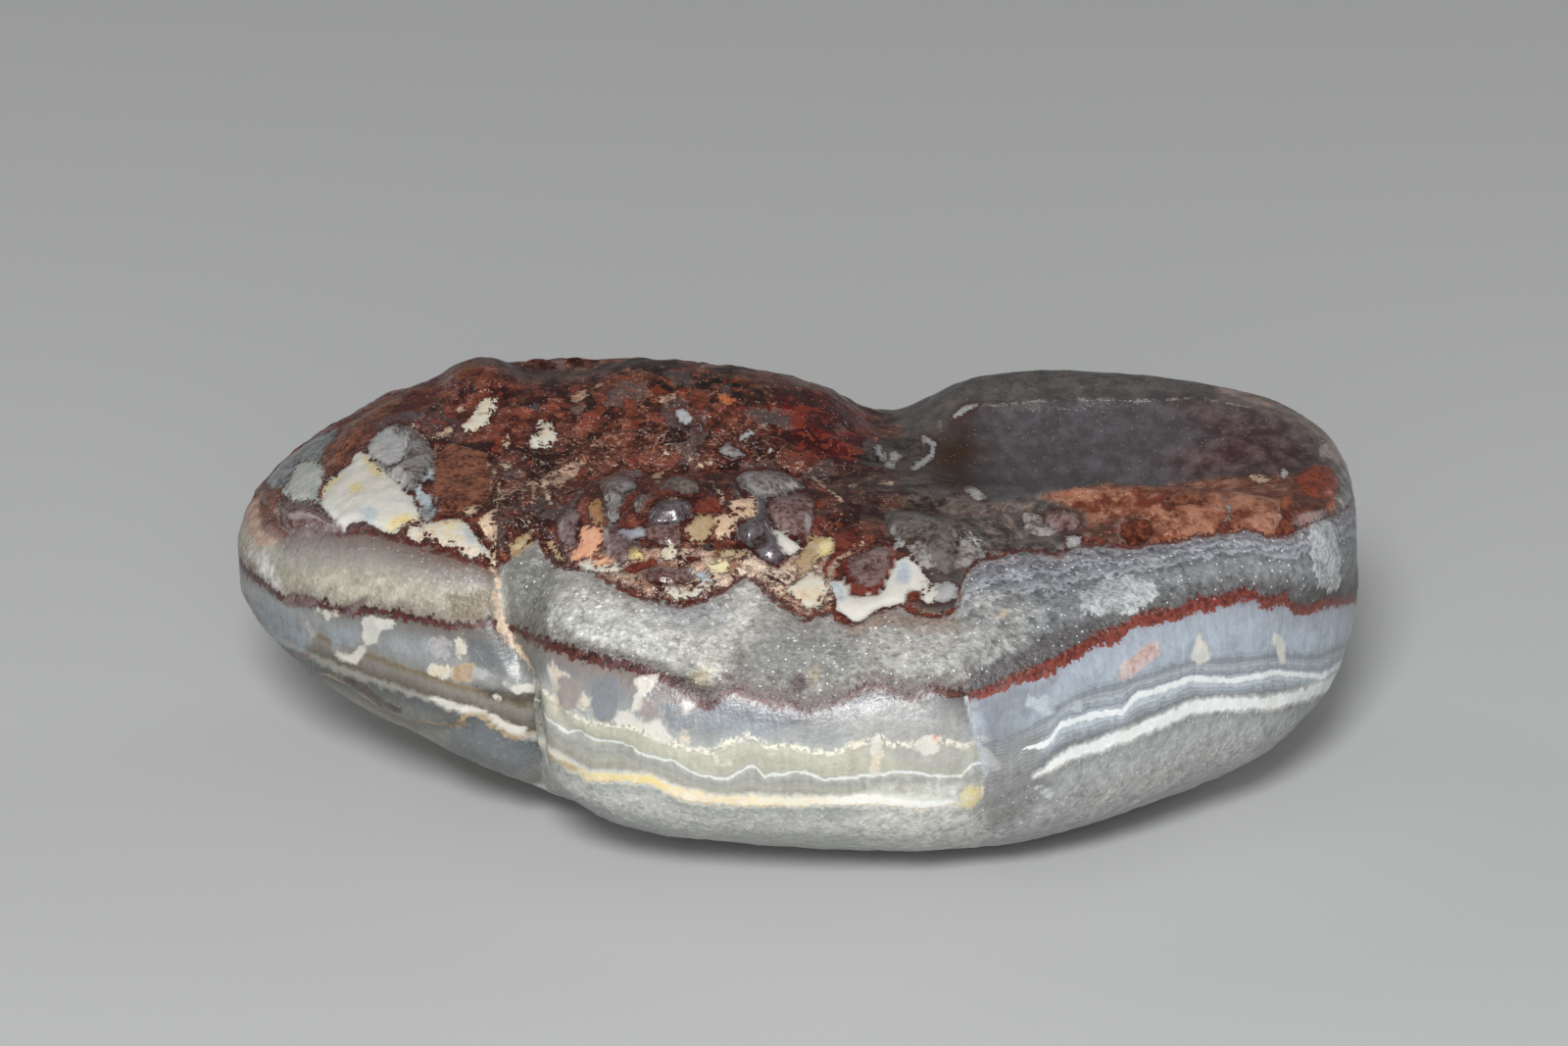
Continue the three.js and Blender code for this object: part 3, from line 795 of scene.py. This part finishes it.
def waves(places_mm, name):
    """One pattern of the list WAVES_MM, in mm of height."""
    height, wave, shift = WAVES_MM[name]
    return height * fractal(places_mm + shift, wave)


def survey_of(mesh):
    """Each vertex's place, normal and pixel, and how far the photograph shows it, 0 to 1."""
    places = read_vertices(mesh, "co")
    normals = read_vertices(mesh, "normal")
    polygons = [tuple(polygon.vertices) for polygon in mesh.polygons]
    tree = BVHTree.FromPolygons([Vector(place) for place in places], polygons)
    eye = bpy.context.scene.camera.location
    seen = seen_from(eye, places, normals, tree)
    return SimpleNamespace(
        eye=eye,
        tree=tree,
        places=places,
        places_mm=places * 1000,
        normals=normals,
        pixels=to_photo(places, eye),
        seen=spread(seen, read_edges(mesh), SPREAD_ROUNDS),
    )


def layer_distance(line, survey):
    """Height in mm of each vertex above a traced line."""
    corners = points(line)
    traced = np.interp(survey.pixels[:, 0], corners[:, 0], corners[:, 1])
    traced = (traced - survey.pixels[:, 1]) * MM_PER_PIXEL
    hits = [from_photo(pixel, survey.eye, survey.tree) for pixel in corners]
    hits = np.array([hit for hit in hits if hit is not None])
    hits = hits[np.argsort(hits[:, 0])]
    places = survey.places
    height = np.interp(places[:, 0], hits[:, 0], hits[:, 2])
    front = np.interp(places[:, 0], hits[:, 0], hits[:, 1])
    level = (places[:, 2] - height - LAYER_DIP * (places[:, 1] - front)) * 1000
    if line == LINE_F:
        upturned = eased(survey.normals[:, 2], *UPTURNED)
        level = np.maximum(level, UPTURNED_RISE_MM * upturned - UPTURNED_DROP_MM)
    traced, level = np.clip((traced, level), -LINE_REACH_MM, LINE_REACH_MM)
    return survey.seen * traced + (1 - survey.seen) * level


def layer_levels(distances):
    """A level through the layers: 1 to 5 on lines A, B, C, D and F, in even steps between."""
    level = 1 + distances[0] / OUTER_STEP_MM
    for below, (low, high) in enumerate(zip(distances[:-1], distances[1:]), start=1):
        gap = np.maximum(low - high, LEAST_GAP_MM)
        level = np.where(low > 0, below + np.clip(low / gap, 0, 1), level)
    return np.where(distances[4] > 0, 5 + distances[4] / OUTER_STEP_MM, level)


def signed_side(line, survey, x_behind):
    """Distance in mm to the right of a line that runs down the photograph."""
    corners = points(line)
    traced = survey.pixels[:, 0] - np.interp(survey.pixels[:, 1], corners[:, 1], corners[:, 0])
    behind = (survey.places_mm[:, 0] - x_behind) * BEHIND_SLOPE
    return survey.seen * traced * MM_PER_PIXEL + (1 - survey.seen) * behind


def area_share(survey, outline, softness):
    """1 inside a traced outline and 0 outside it and where the photograph doesn't reach."""
    share = eased(inside(survey.pixels, points(outline)), -softness, softness)
    return share * survey.seen


def ground_values(name):
    dark, light, *rest = GROUNDS[name]
    return np.concatenate((linear(dark), linear(light), rest))


def paint_grounds(survey):
    """The twelve numbers of the top's ground at each vertex, in the order of the list GROUNDS."""
    x, y, _ = survey.places_mm.T
    middle_x, middle_y, half_x, half_y = DISH_MM
    right = eased(x, *LOBES_MEET_MM)[:, None]
    ground = ground_values("jasper") * (1 - right) + ground_values("back rim") * right
    off_dish = ((x - middle_x) / half_x) ** 2 + ((y - middle_y) / half_y) ** 2
    in_dish = eased(off_dish, *DISH_EDGE)[:, None]
    ground += (ground_values("dish") - ground) * in_dish
    for name, softness, outline in AREAS:
        share = area_share(survey, outline, softness)[:, None]
        ground += (ground_values(name) - ground) * share
    return ground


def paint_tints(survey):
    """Soft colours over the layers, and how strongly they cover."""
    colour = np.zeros((len(survey.pixels), 3))
    cover = np.zeros(len(survey.pixels))
    for tint, strength, softness, outline in TINTS:
        share = area_share(survey, outline, softness) * strength
        colour += (linear(tint) - colour) * np.where(cover > 0, share, share > 0)[:, None]
        cover = 1 - (1 - cover) * (1 - share)
    return colour, cover


def paint_patches(survey):
    """Distance in mm inside the nearest patch's edge, and its colours, rim, lift and gloss."""
    pixels = survey.pixels
    edge = np.full(len(pixels), -PATCH_REACH_MM)
    look = np.zeros((len(pixels), 9))
    shapes = [(kind, 0, points(outline)) for kind, outline in entries(PATCHES)]
    shapes += [(kind, width, points(course)) for kind, width, course in VEINS]
    for kind, width, corners in shapes:
        near = pixels > corners.min(0) - PATCH_MARGIN
        near &= pixels < corners.max(0) + PATCH_MARGIN
        near = np.flatnonzero(near.all(1) & (survey.seen > LEAST_SEEN))
        if width:
            own = (width + VEIN_EXTRA - off_line(pixels[near], corners)) * MM_PER_PIXEL
        else:
            own = inside(pixels[near], corners) * MM_PER_PIXEL
        first, second, rim, lift, gloss = KINDS[kind]
        values = np.concatenate((linear(first), linear(second), (rim, lift, gloss)))
        before = edge[near]
        blends = (before > 0) & (rim == 0)
        share = eased(own, *PATCH_BLEND_MM) * blends
        look[near] += (values - look[near]) * share[:, None]
        takes = ~blends & ((own > 0) | (own > before))
        look[near[takes]] = values
        edge[near] = np.where(takes, own, np.where(blends, np.maximum(own, before), before))
    edge = survey.seen * edge - PATCH_REACH_MM * (1 - survey.seen)
    return edge, look


def fold_relief(survey):
    """Ridges and grooves along traced lines, in mm."""
    relief = np.zeros(len(survey.pixels))
    for height, width, course in FOLDS:
        off = off_line(survey.pixels, points(course)) * MM_PER_PIXEL
        relief += ridge(off, height, width) * survey.seen
    return relief


def fine_relief(survey, above_a, above_d, above_f, lumps, edge, look):
    """How far each vertex moves outwards, in mm, from its heights above lines A, D and F, the
    ground's lumps, and its patch's edge and look."""
    places_mm = survey.places_mm
    above = eased(above_f, *TOP_STARTS_MM)
    below = 1 - above
    bare = above * lumps * (1 - PATCH_CALM * eased(edge, *PATCH_EDGE_MM))
    sugary = eased(above_d, *SUGAR_STARTS_MM) * below
    rim, lift = look[:, 6], look[:, 7]
    relief = waves(places_mm, "all over")
    bumps = KNOB_HEIGHT_MM * knobs(places_mm + KNOB_SHIFT_MM, KNOB_SIZE_MM)
    relief += bare * (bumps + waves(places_mm, "jasper"))
    relief += below * (waves(places_mm, "worn side") + waves(places_mm, "side grain"))
    relief += sugary * waves(places_mm, "sugar")
    lift = lift * (SIDE_LIFT + (1 - SIDE_LIFT) * above)
    relief += lift * eased(edge, *LIFT_EDGE_MM)
    relief += ridge(edge + RIM_OFFSET_MM, *RIM_GROOVE_MM) * rim * above
    relief += ridge(above_a, *BAND_A_RIDGE_MM) * below
    relief += ridge(above_d, *BAND_D_GROOVE_MM) * below
    relief += ridge(above_f, *BAND_F_GROOVE_MM)
    relief += fold_relief(survey)
    return relief * eased(places_mm[:, 2], *RELIEF_START_MM)


def store(mesh, name, *columns):
    """Keeps three numbers for each vertex as a named attribute."""
    attribute = mesh.attributes.new(name, "FLOAT_VECTOR", "POINT")
    attribute.data.foreach_set("vector", np.column_stack(columns).astype(np.float32).ravel())


def add_stone():
    mesh = fine_mesh()
    stone = add_object("pebble", mesh)
    survey = survey_of(mesh)
    heights = [layer_distance(line, survey) for line in (LINE_A, LINE_B, LINE_C, LINE_D, LINE_F)]
    above_a, above_b, _, above_d, above_f = heights
    across = survey.pixels[:, 0]
    widths = (WIDTH_A, WIDTH_B, WIDTH_D, WIDTH_F)
    half_a, half_b, half_d, half_f = (np.interp(across, *zip(*width)) for width in widths)
    crease = signed_side(CREASE, survey, CREASE_BEHIND_MM)
    corner = signed_side(CORNER, survey, CORNER_BEHIND_MM)
    ground = paint_grounds(survey)
    tint, cover = paint_tints(survey)
    edge, look = paint_patches(survey)
    store(mesh, "heights", above_a, above_b, above_d)
    store(mesh, "halves", half_a, half_b, half_d)
    store(mesh, "layers", layer_levels(heights), above_f, half_f)
    store(mesh, "sides", crease, corner, cover)
    store(mesh, "tint", tint)
    store(mesh, "ground_dark", ground[:, 0:3])
    store(mesh, "ground_light", ground[:, 3:6])
    store(mesh, "skin", ground[:, 6:9])
    store(mesh, "mixed_in", ground[:, 9:12])
    store(mesh, "patch_first", look[:, 0:3])
    store(mesh, "patch_second", look[:, 3:6])
    store(mesh, "patch", edge, look[:, 6], look[:, 8])

    relief = fine_relief(survey, above_a, above_d, above_f, ground[:, 7], edge, look)
    moved = survey.places + survey.normals * relief[:, None] / 1000
    moved[:, 2] = np.maximum(moved[:, 2], 0)
    mesh.vertices.foreach_set("co", moved.astype(np.float32).ravel())
    mesh.polygons.foreach_set("use_smooth", np.ones(len(mesh.polygons), bool))
    mesh.update()
    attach(stone, "root")
    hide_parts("stone")
    return stone


class Value:
    """A node's output in a material. Sums and products with it add math nodes."""

    def __init__(self, shader, socket):
        self.shader = shader
        self.socket = socket

    def __add__(self, other):
        return self.shader.math("ADD", self, other)

    def __sub__(self, other):
        return self.shader.math("SUBTRACT", self, other)

    def __rsub__(self, other):
        return self.shader.math("SUBTRACT", other, self)

    def __mul__(self, other):
        return self.shader.math("MULTIPLY", self, other)

    def __truediv__(self, other):
        return self.shader.math("DIVIDE", self, other)

    def __neg__(self):
        return self * -1.0

    def __abs__(self):
        return self.shader.math("ABSOLUTE", self)


class Shader:
    """Adds nodes to a new material. Inputs are numbers, colours or other nodes' outputs."""

    def __init__(self, name):
        self.material = bpy.data.materials.new(name)
        self.material.use_nodes = True
        self.tree = self.material.node_tree
        self.tree.nodes.clear()

    def feed(self, socket, value):
        if isinstance(value, Value):
            self.tree.links.new(value.socket, socket)
        elif socket.type == "RGBA":
            socket.default_value = (*value, 1)
        else:
            socket.default_value = value

    def node(self, kind, settings=None, **inputs):
        made = self.tree.nodes.new("ShaderNode" + kind)
        for name, value in (settings or {}).items():
            setattr(made, name, value)
        for name, value in inputs.items():
            self.feed(made.inputs[name.replace("_", " ")], value)
        return made

    def output(self, made, which=0):
        return Value(self, made.outputs[which])

    def math(self, operation, first, second=0.0):
        made = self.node("Math", {"operation": operation})
        self.feed(made.inputs[0], first)
        self.feed(made.inputs[1], second)
        return self.output(made)

    def step(self, value, low, high):
        """0 at low, 1 at high and a smooth step between them."""
        settings = {"interpolation_type": "SMOOTHSTEP"}
        made = self.node("MapRange", settings, Value=value, From_Min=low, From_Max=high)
        return self.output(made, "Result")

    def mix(self, share, first, second, blend="MIX"):
        """A colour that goes from first to second."""
        made = self.node("Mix", {"data_type": "RGBA", "blend_type": blend})
        for place, value in ((0, share), (6, first), (7, second)):
            self.feed(made.inputs[place], value)
        return self.output(made, 2)

    def paint(self, under, share, colour):
        """One flat sRGB colour laid over another colour."""
        return self.mix(share, under, linear(colour))

    def between(self, share, first, second):
        """A number that goes from first to second."""
        made = self.node("Mix", {"data_type": "FLOAT"})
        for place, value in ((0, share), (2, first), (3, second)):
            self.feed(made.inputs[place], value)
        return self.output(made)

    def ramp(self, value, stops):
        """Colour stops given as (place from 0 to 1, sRGB colour)."""
        made = self.node("ValToRGB", Fac=value)
        elements = made.color_ramp.elements
        for place, colour in stops[1:-1]:
            elements.new(place).color = (*linear(colour), 1)
        elements[0].position, elements[-1].position = stops[0][0], stops[-1][0]
        elements[0].color = (*linear(stops[0][1]), 1)
        elements[-1].color = (*linear(stops[-1][1]), 1)
        return self.output(made, "Color")

    def attribute(self, name):
        made = self.node("Attribute", {"attribute_name": name, "attribute_type": "GEOMETRY"})
        return self.output(made, "Vector")

    def parts(self, vector):
        return [Value(self, part) for part in self.node("SeparateXYZ", Vector=vector).outputs]

    def numbers(self, name):
        """The three numbers of an attribute."""
        return self.parts(self.attribute(name))

    def noise(self, place, scale, detail, roughness=0.5, distortion=0.0, out="Fac"):
        made = self.node("TexNoise", Vector=place, Scale=scale, Detail=detail,
                         Roughness=roughness, Distortion=distortion)
        return self.output(made, out)

    def cells(self, place, scale, feature="F1", out="Distance"):
        made = self.node("TexVoronoi", {"feature": feature}, Vector=place, Scale=scale)
        return self.output(made, out)

    def vectors(self, operation, first, second=(0.0, 0.0, 0.0)):
        made = self.node("VectorMath", {"operation": operation})
        self.feed(made.inputs[0], first)
        self.feed(made.inputs[1], second)
        return self.output(made)

    def scaled(self, vector, factor):
        made = self.node("VectorMath", {"operation": "SCALE"}, Scale=factor)
        self.feed(made.inputs[0], vector)
        return self.output(made)

    def brightened(self, colour, factor):
        grey = self.node("CombineColor", Red=factor, Green=factor, Blue=factor)
        return self.mix(1.0, colour, self.output(grey), "MULTIPLY")

    def finish(self, surface):
        self.tree.links.new(surface.outputs[0], self.node("OutputMaterial").inputs[0])
        return self.material


def patterns(nodes):
    """The patterns that the stone's colours and skin share, at their true size in mm."""
    place = nodes.scaled(nodes.output(nodes.node("TexCoord"), "Object"), 1000.0)
    soft, fine, wiggle = (nodes.noise(place, *NOISES[name]) for name in ("soft", "fine", "wiggle"))
    crystal = nodes.cells(place, CRYSTALS_PER_MM, out="Color")
    # A few small cells, chosen at random, are painted as bright glints
    glints = nodes.node("TexVoronoi", Vector=place, Scale=GLINTS_PER_MM)
    chosen = nodes.step(nodes.parts(nodes.output(glints, "Color"))[1], 0.90, 0.94)
    wobbles = [(value - 0.5) * share for value, share in zip((soft, fine, wiggle), WOBBLE_MM)]
    return SimpleNamespace(
        place=place,
        soft=soft,
        fine=fine,
        wiggle=wiggle,
        wobble=wobbles[0] + wobbles[1] + wobbles[2],
        crystal=crystal,
        grain=nodes.parts(crystal)[0],
        painted_glint=nodes.step(nodes.output(glints, "Distance"), 0.42, 0.24) * chosen,
    )


def side_masks(nodes, pattern):
    """Where each kind of stone is on the pebble's sides, up to line F."""
    level, _, _ = nodes.numbers("layers")
    crease, corner, _ = nodes.numbers("sides")
    level = level + pattern.wobble * LEVEL_WOBBLE
    on_front = nodes.step(crease + pattern.wobble, -0.1, 0.15)
    on_right = nodes.step(corner + pattern.wobble * 3.0, -0.45, 0.6)
    # Sugary quartz fills the layer under the top, and weakly the one below line A
    under_top = nodes.step(level, *SUGAR_STARTS) * nodes.step(level, *SUGAR_ENDS)
    sugary = nodes.math("MAXIMUM", under_top, nodes.step(level, *BASE_ENDS) * BASE_SUGAR)
    upright = nodes.vectors("MULTIPLY", pattern.place, FIBRES_PER_MM)
    return SimpleNamespace(
        level=level,
        on_front=on_front,
        on_right=on_right,
        only_front=on_front - on_right,
        sugary=sugary * nodes.between(nodes.step(crease, -0.5, 1.5), 0.35, 1.0),
        glassy=nodes.step(level, *GLASS_STARTS) * nodes.step(level, *GLASS_ENDS),
        fibre=nodes.noise(upright, 1.0, 3) - 0.5,
    )


def layer_colours(nodes, pattern, where):
    """The colours of the layers, with the tints, the sugary grain, the fibres and fine lines."""
    front, right, left = (
        nodes.ramp(where.level / TOP_LEVEL, [(at / TOP_LEVEL, colour) for at, colour in layers])
        for layers in (FRONT_LAYERS, RIGHT_LAYERS, LEFT_LAYERS)
    )
    side = nodes.mix(where.on_front, left, front)
    side = nodes.mix(where.on_right, side, right)
    tinted = nodes.step(nodes.numbers("sides")[2] + pattern.wobble * 1.5, 0.0, 1.0)
    side = nodes.mix(tinted, side, nodes.attribute("tint"))

    # How bright the grain, the upright fibres and the fine lines along the layers make it
    bright = (pattern.grain - 0.5) * 0.3 + (pattern.fine - 0.5) * 0.65 + (pattern.soft - 0.5)
    bright = bright + (pattern.wiggle - 0.5) * nodes.between(where.on_right, 0.4, 1.0)
    lines = nodes.math("SINE", where.level * LINES_PER_LEVEL)
    lined = nodes.step(where.level, 3.2, 2.7) * nodes.between(where.on_right, 0.03, 0.12)
    along = where.fibre * 0.45 + lines * lined
    bright = bright * nodes.between(where.sugary, 0.3, 1.0) + along * where.glassy + 1.0
    return nodes.brightened(side, bright)


def add_bands(nodes, pattern, where, side):
    """The opaque bands on lines A, B and D, a broken pale line on line C, and painted glints."""
    height_a, height_b, height_d = nodes.numbers("heights")
    half_a, half_b, half_d = nodes.numbers("halves")
    near_c = nodes.step(abs(where.level - LINE_C_LEVEL), 0.14, 0.03)
    there = near_c * where.only_front * nodes.step(pattern.fine, 0.42, 0.56)
    side = nodes.paint(side, there * 0.75, LINE_C_COLOUR)

    # Line A: a pale halo, the band with its scraps, then a thin ochre line under it
    from_left = (nodes.parts(pattern.place)[0] - LEFT_END_MM) / LENGTH_MM
    tone_a = nodes.ramp(from_left, BAND_A_COLOURS)
    tone_a = nodes.paint(tone_a, nodes.step(pattern.soft, 0.5, 0.62) * 0.5, BAND_A_SCRAPS)
    above_a = height_a + pattern.wobble * 0.7
    inner = abs(above_a) - half_a * 0.9
    banded = nodes.step(half_a, 0.02, 0.06)
    side = nodes.paint(side, nodes.step(inner, 0.2, 0.0) * 0.5 * banded, BAND_A_HALO)
    there = nodes.step(inner, 0.05, -0.1) * nodes.between(pattern.fine, 0.6, 1.0) * banded
    side = nodes.mix(there * nodes.between(where.on_front, 0.6, 1.0), side, tone_a)
    lower_edge = nodes.step(abs(above_a + half_a * 0.8), 0.07, 0.01)
    there = lower_edge * banded * nodes.step(pattern.wiggle, 0.44, 0.56) * where.only_front
    side = nodes.paint(side, there * 0.6, BAND_A_LOWER_EDGE)

    # Line B: a thin white band
    off = abs(height_b + pattern.wobble * 0.5)
    there = nodes.step(off - half_b, 0.035, -0.03) * nodes.between(where.on_right, 0.62, 0.9)
    side = nodes.paint(side, there * where.on_front, BAND_B_COLOUR)

    # Line D: a ragged red band
    dark_d = nodes.mix(where.on_right, *map(linear, DARK_BAND_D))
    light_d = nodes.mix(where.on_right, *map(linear, LIGHT_BAND_D))
    tone_d = nodes.mix(nodes.step(pattern.fine, 0.35, 0.65), dark_d, light_d)
    ragged = where.fibre * 0.3 + (pattern.fine - 0.5) * 0.6
    off = abs(height_d + (pattern.wobble + ragged))
    side = nodes.mix(nodes.step(off - half_d, 0.03, -0.03) * 0.95, side, tone_d)
    # Painted glints on the sugary quartz
    return nodes.paint(side, pattern.painted_glint * (where.sugary * 0.7), SIDE_PAINTED_GLINT)


def top_colours(nodes, pattern):
    """The broken jasper and clear stone above line F."""
    cracks, lumps, _ = nodes.numbers("skin")
    lace, grey, orange = nodes.numbers("mixed_in")
    drift = nodes.scaled(nodes.noise(pattern.place, *NOISES["drift"], out="Color"), DRIFT_MM)
    bent = nodes.vectors("ADD", pattern.place, drift)
    piece = nodes.parts(nodes.cells(bent, PIECES_PER_MM, out="Color"))
    crumb = nodes.parts(nodes.cells(bent, CRUMBS_PER_MM, out="Color"))
    seam = nodes.cells(bent, PIECES_PER_MM, "DISTANCE_TO_EDGE")
    speckle = nodes.noise(pattern.place, *NOISES["speckle"])

    # Broken pieces of many tones
    broken = nodes.step(lumps, 0.1, 0.4)
    tone = ((piece[0] - 0.5) * 0.45 + (crumb[0] - 0.5) * 0.22) * broken + 0.36
    tone = tone + (pattern.fine - 0.5) * 0.5 + (pattern.soft - 0.5) * 1.7
    dark, light = nodes.attribute("ground_dark"), nodes.attribute("ground_light")
    ground = nodes.mix(nodes.step(tone, 0.05, 0.8), dark, light)
    there = nodes.step(piece[1] + grey, 0.96, 1.04) * broken
    ground = nodes.mix(there * 0.65, ground, nodes.mix(pattern.fine, *map(linear, GREY_PIECES)))
    there = nodes.step(crumb[1] + orange, 0.96, 1.04) * broken
    ground = nodes.paint(ground, there * 0.5, ORANGE_CRUMBS)
    ground = nodes.paint(ground, nodes.step(seam, 0.07, 0.01) * cracks * 0.45, CRACK_COLOUR)

    # Lace: pale scraps and thin curling threads
    scrap = nodes.noise(bent, *NOISES["scraps"])
    there = nodes.step(scrap - (0.75 - lace * 0.14), -0.01, 0.03)
    ground = nodes.mix(there * 0.85, ground, nodes.mix(piece[2], *map(linear, SCRAP_COLOURS)))
    thread = abs(nodes.noise(pattern.place, *NOISES["threads"]) - 0.5)
    there = nodes.step(thread, 0.014, 0.004) * nodes.step(pattern.soft + lace * 0.12, 0.5, 0.62)
    ground = nodes.paint(ground, there * nodes.step(lace, 0.05, 0.3) * 0.75, THREAD_COLOUR)

    # Pale specks, painted shade in small pits, and painted glints
    there = nodes.step(speckle, 0.68, 0.75) * nodes.step(lace + lumps, 0.5, 1.9)
    ground = nodes.paint(ground, there * 0.5, SPECK_COLOUR)
    ground = nodes.paint(ground, nodes.step(speckle, 0.36, 0.28) * lumps * 0.35, PIT_SHADE_COLOUR)
    return nodes.paint(ground, pattern.painted_glint * (lumps * 0.3 + 0.06), TOP_PAINTED_GLINT)


def add_patches(nodes, pattern, on_top, colour):
    """Lays the patches on, sharp glassy ones and ragged crusts, and says where they are."""
    edge, rim, gloss = nodes.numbers("patch")
    ragged = nodes.step(gloss, 0.8, 0.55)
    holes = nodes.step(pattern.wiggle, 0.52, 0.64) * (ragged * on_top * 0.28)
    edge = edge + pattern.wobble * nodes.between(ragged, 0.5, 1.0) - holes
    shade = nodes.step(pattern.soft * 0.5 + pattern.fine * 0.5, 0.36, 0.62)
    patch = nodes.mix(shade, nodes.attribute("patch_first"), nodes.attribute("patch_second"))
    stain = nodes.step(nodes.noise(pattern.place, *NOISES["stains"]), 0.56, 0.68) * (ragged * 0.5)
    patch = nodes.paint(patch, stain * on_top, STAIN_COLOUR)
    # Painted shade: each patch darkens towards its edge, mostly on the top, and the fine noise
    # mottles its tone
    depth = nodes.between(nodes.step(edge, 0.0, 0.16), nodes.between(on_top, 0.97, 0.68), 1.0)
    patch = nodes.brightened(patch, depth * nodes.between(pattern.fine, 0.84, 1.16))
    colour = nodes.paint(colour, nodes.step(edge, -0.24, -0.06) * rim * on_top, RIM_COLOUR)
    blur = nodes.between(on_top, 0.07, 0.025)
    on_patch = nodes.step(edge, -blur, blur)
    return nodes.mix(on_patch * nodes.between(on_top, 0.85, 1.0), colour, patch), on_patch


def skin_normal(nodes, pattern, where, on_top, on_patch):
    """The direction of the skin, with its fine bumps and crystal faces."""
    lumps = nodes.numbers("skin")[1]
    rough = nodes.between(on_top, nodes.between(where.sugary, 0.25, 1.0), lumps + 0.1)
    rough = rough * nodes.between(on_patch * on_top, 1.0, 0.12)
    height = pattern.fine * 0.08 + pattern.wiggle * nodes.between(on_top, 0.02, 0.14)
    height = height + pattern.grain * where.sugary * 0.03
    height = height * rough + pattern.fine * 0.012
    bump = nodes.node("Bump", Strength=1.0, Distance=BUMP_DEPTH, Height=height)
    tilt = nodes.vectors("SUBTRACT", pattern.crystal, (0.5, 0.5, 0.5))
    facets = nodes.between(on_top, where.sugary * 0.5, lumps * 0.2)
    facets = facets * nodes.between(on_patch, 1.0, 0.15)
    tilted = nodes.vectors("ADD", nodes.output(bump), nodes.scaled(tilt, facets))
    return nodes.vectors("NORMALIZE", tilted)


def stone_material():
    nodes = Shader("banded_chalcedony")
    pattern = patterns(nodes)
    where = side_masks(nodes, pattern)
    side = layer_colours(nodes, pattern, where)
    side = add_bands(nodes, pattern, where, side)

    # The top, and a broken red band where it meets the side
    _, above_f, half_f = nodes.numbers("layers")
    above_f = above_f + (pattern.wobble * 0.7 + (pattern.fine - 0.5) * 0.4)
    on_top = nodes.step(above_f, -0.02, 0.02)
    colour = nodes.mix(on_top, side, top_colours(nodes, pattern))
    there = nodes.step(abs(above_f) - half_f, 0.05, -0.03) * nodes.step(pattern.wiggle, 0.32, 0.46)
    red = nodes.mix(nodes.step(pattern.fine, 0.4, 0.7), *map(linear, BAND_F_COLOURS))
    colour = nodes.mix(there * 0.85, colour, red)
    colour, on_patch = add_patches(nodes, pattern, on_top, colour)

    top_gloss = nodes.numbers("skin")[2]
    patch_gloss = nodes.numbers("patch")[2]
    gloss = nodes.between(on_top, nodes.between(where.glassy, 0.35, 0.6), top_gloss)
    gloss = nodes.between(on_patch, gloss, patch_gloss)
    roughness = nodes.between(gloss, *ROUGHNESS) + (pattern.fine - 0.5) * 0.25
    normal = skin_normal(nodes, pattern, where, on_top, on_patch)
    surface = nodes.node("BsdfPrincipled", Base_Color=colour, Roughness=roughness,
                         Normal=normal, IOR=STONE_IOR)
    return nodes.finish(surface)


def add_floor():
    mesh = bpy.data.meshes.new("floor")
    corners = [(-FLOOR_HALF, -FLOOR_HALF, 0), (FLOOR_HALF, -FLOOR_HALF, 0),
               (FLOOR_HALF, FLOOR_HALF, 0), (-FLOOR_HALF, FLOOR_HALF, 0)]
    mesh.from_pydata(corners, [], [(0, 1, 2, 3)])
    floor = add_object("floor", mesh)
    nodes = Shader("pale_floor")
    surface = nodes.node("BsdfPrincipled", Base_Color=linear(FLOOR_COLOUR), Roughness=1.0,
                         Specular_IOR_Level=0.0)
    mesh.materials.append(nodes.finish(surface))


def add_lights():
    for name, place, aim, diameter, power in LIGHTS:
        data = bpy.data.lights.new(name, "AREA")
        data.shape = "DISK"
        data.size = diameter
        data.energy = power
        light = add_object(name, data)
        light.location = place
        direction = Vector(aim) - Vector(place)
        light.rotation_euler = direction.to_track_quat("-Z", "Y").to_euler()
    world = bpy.data.worlds.new("studio")
    world.use_nodes = True
    background = world.node_tree.nodes["Background"]
    background.inputs["Color"].default_value = (1, 1, 1, 1)
    background.inputs["Strength"].default_value = WORLD_STRENGTH
    bpy.context.scene.world = world
    bpy.context.scene.view_settings.view_transform = "Standard"


add_camera()
pebble = add_stone()
pebble.data.materials.append(stone_material())
add_floor()
add_lights()
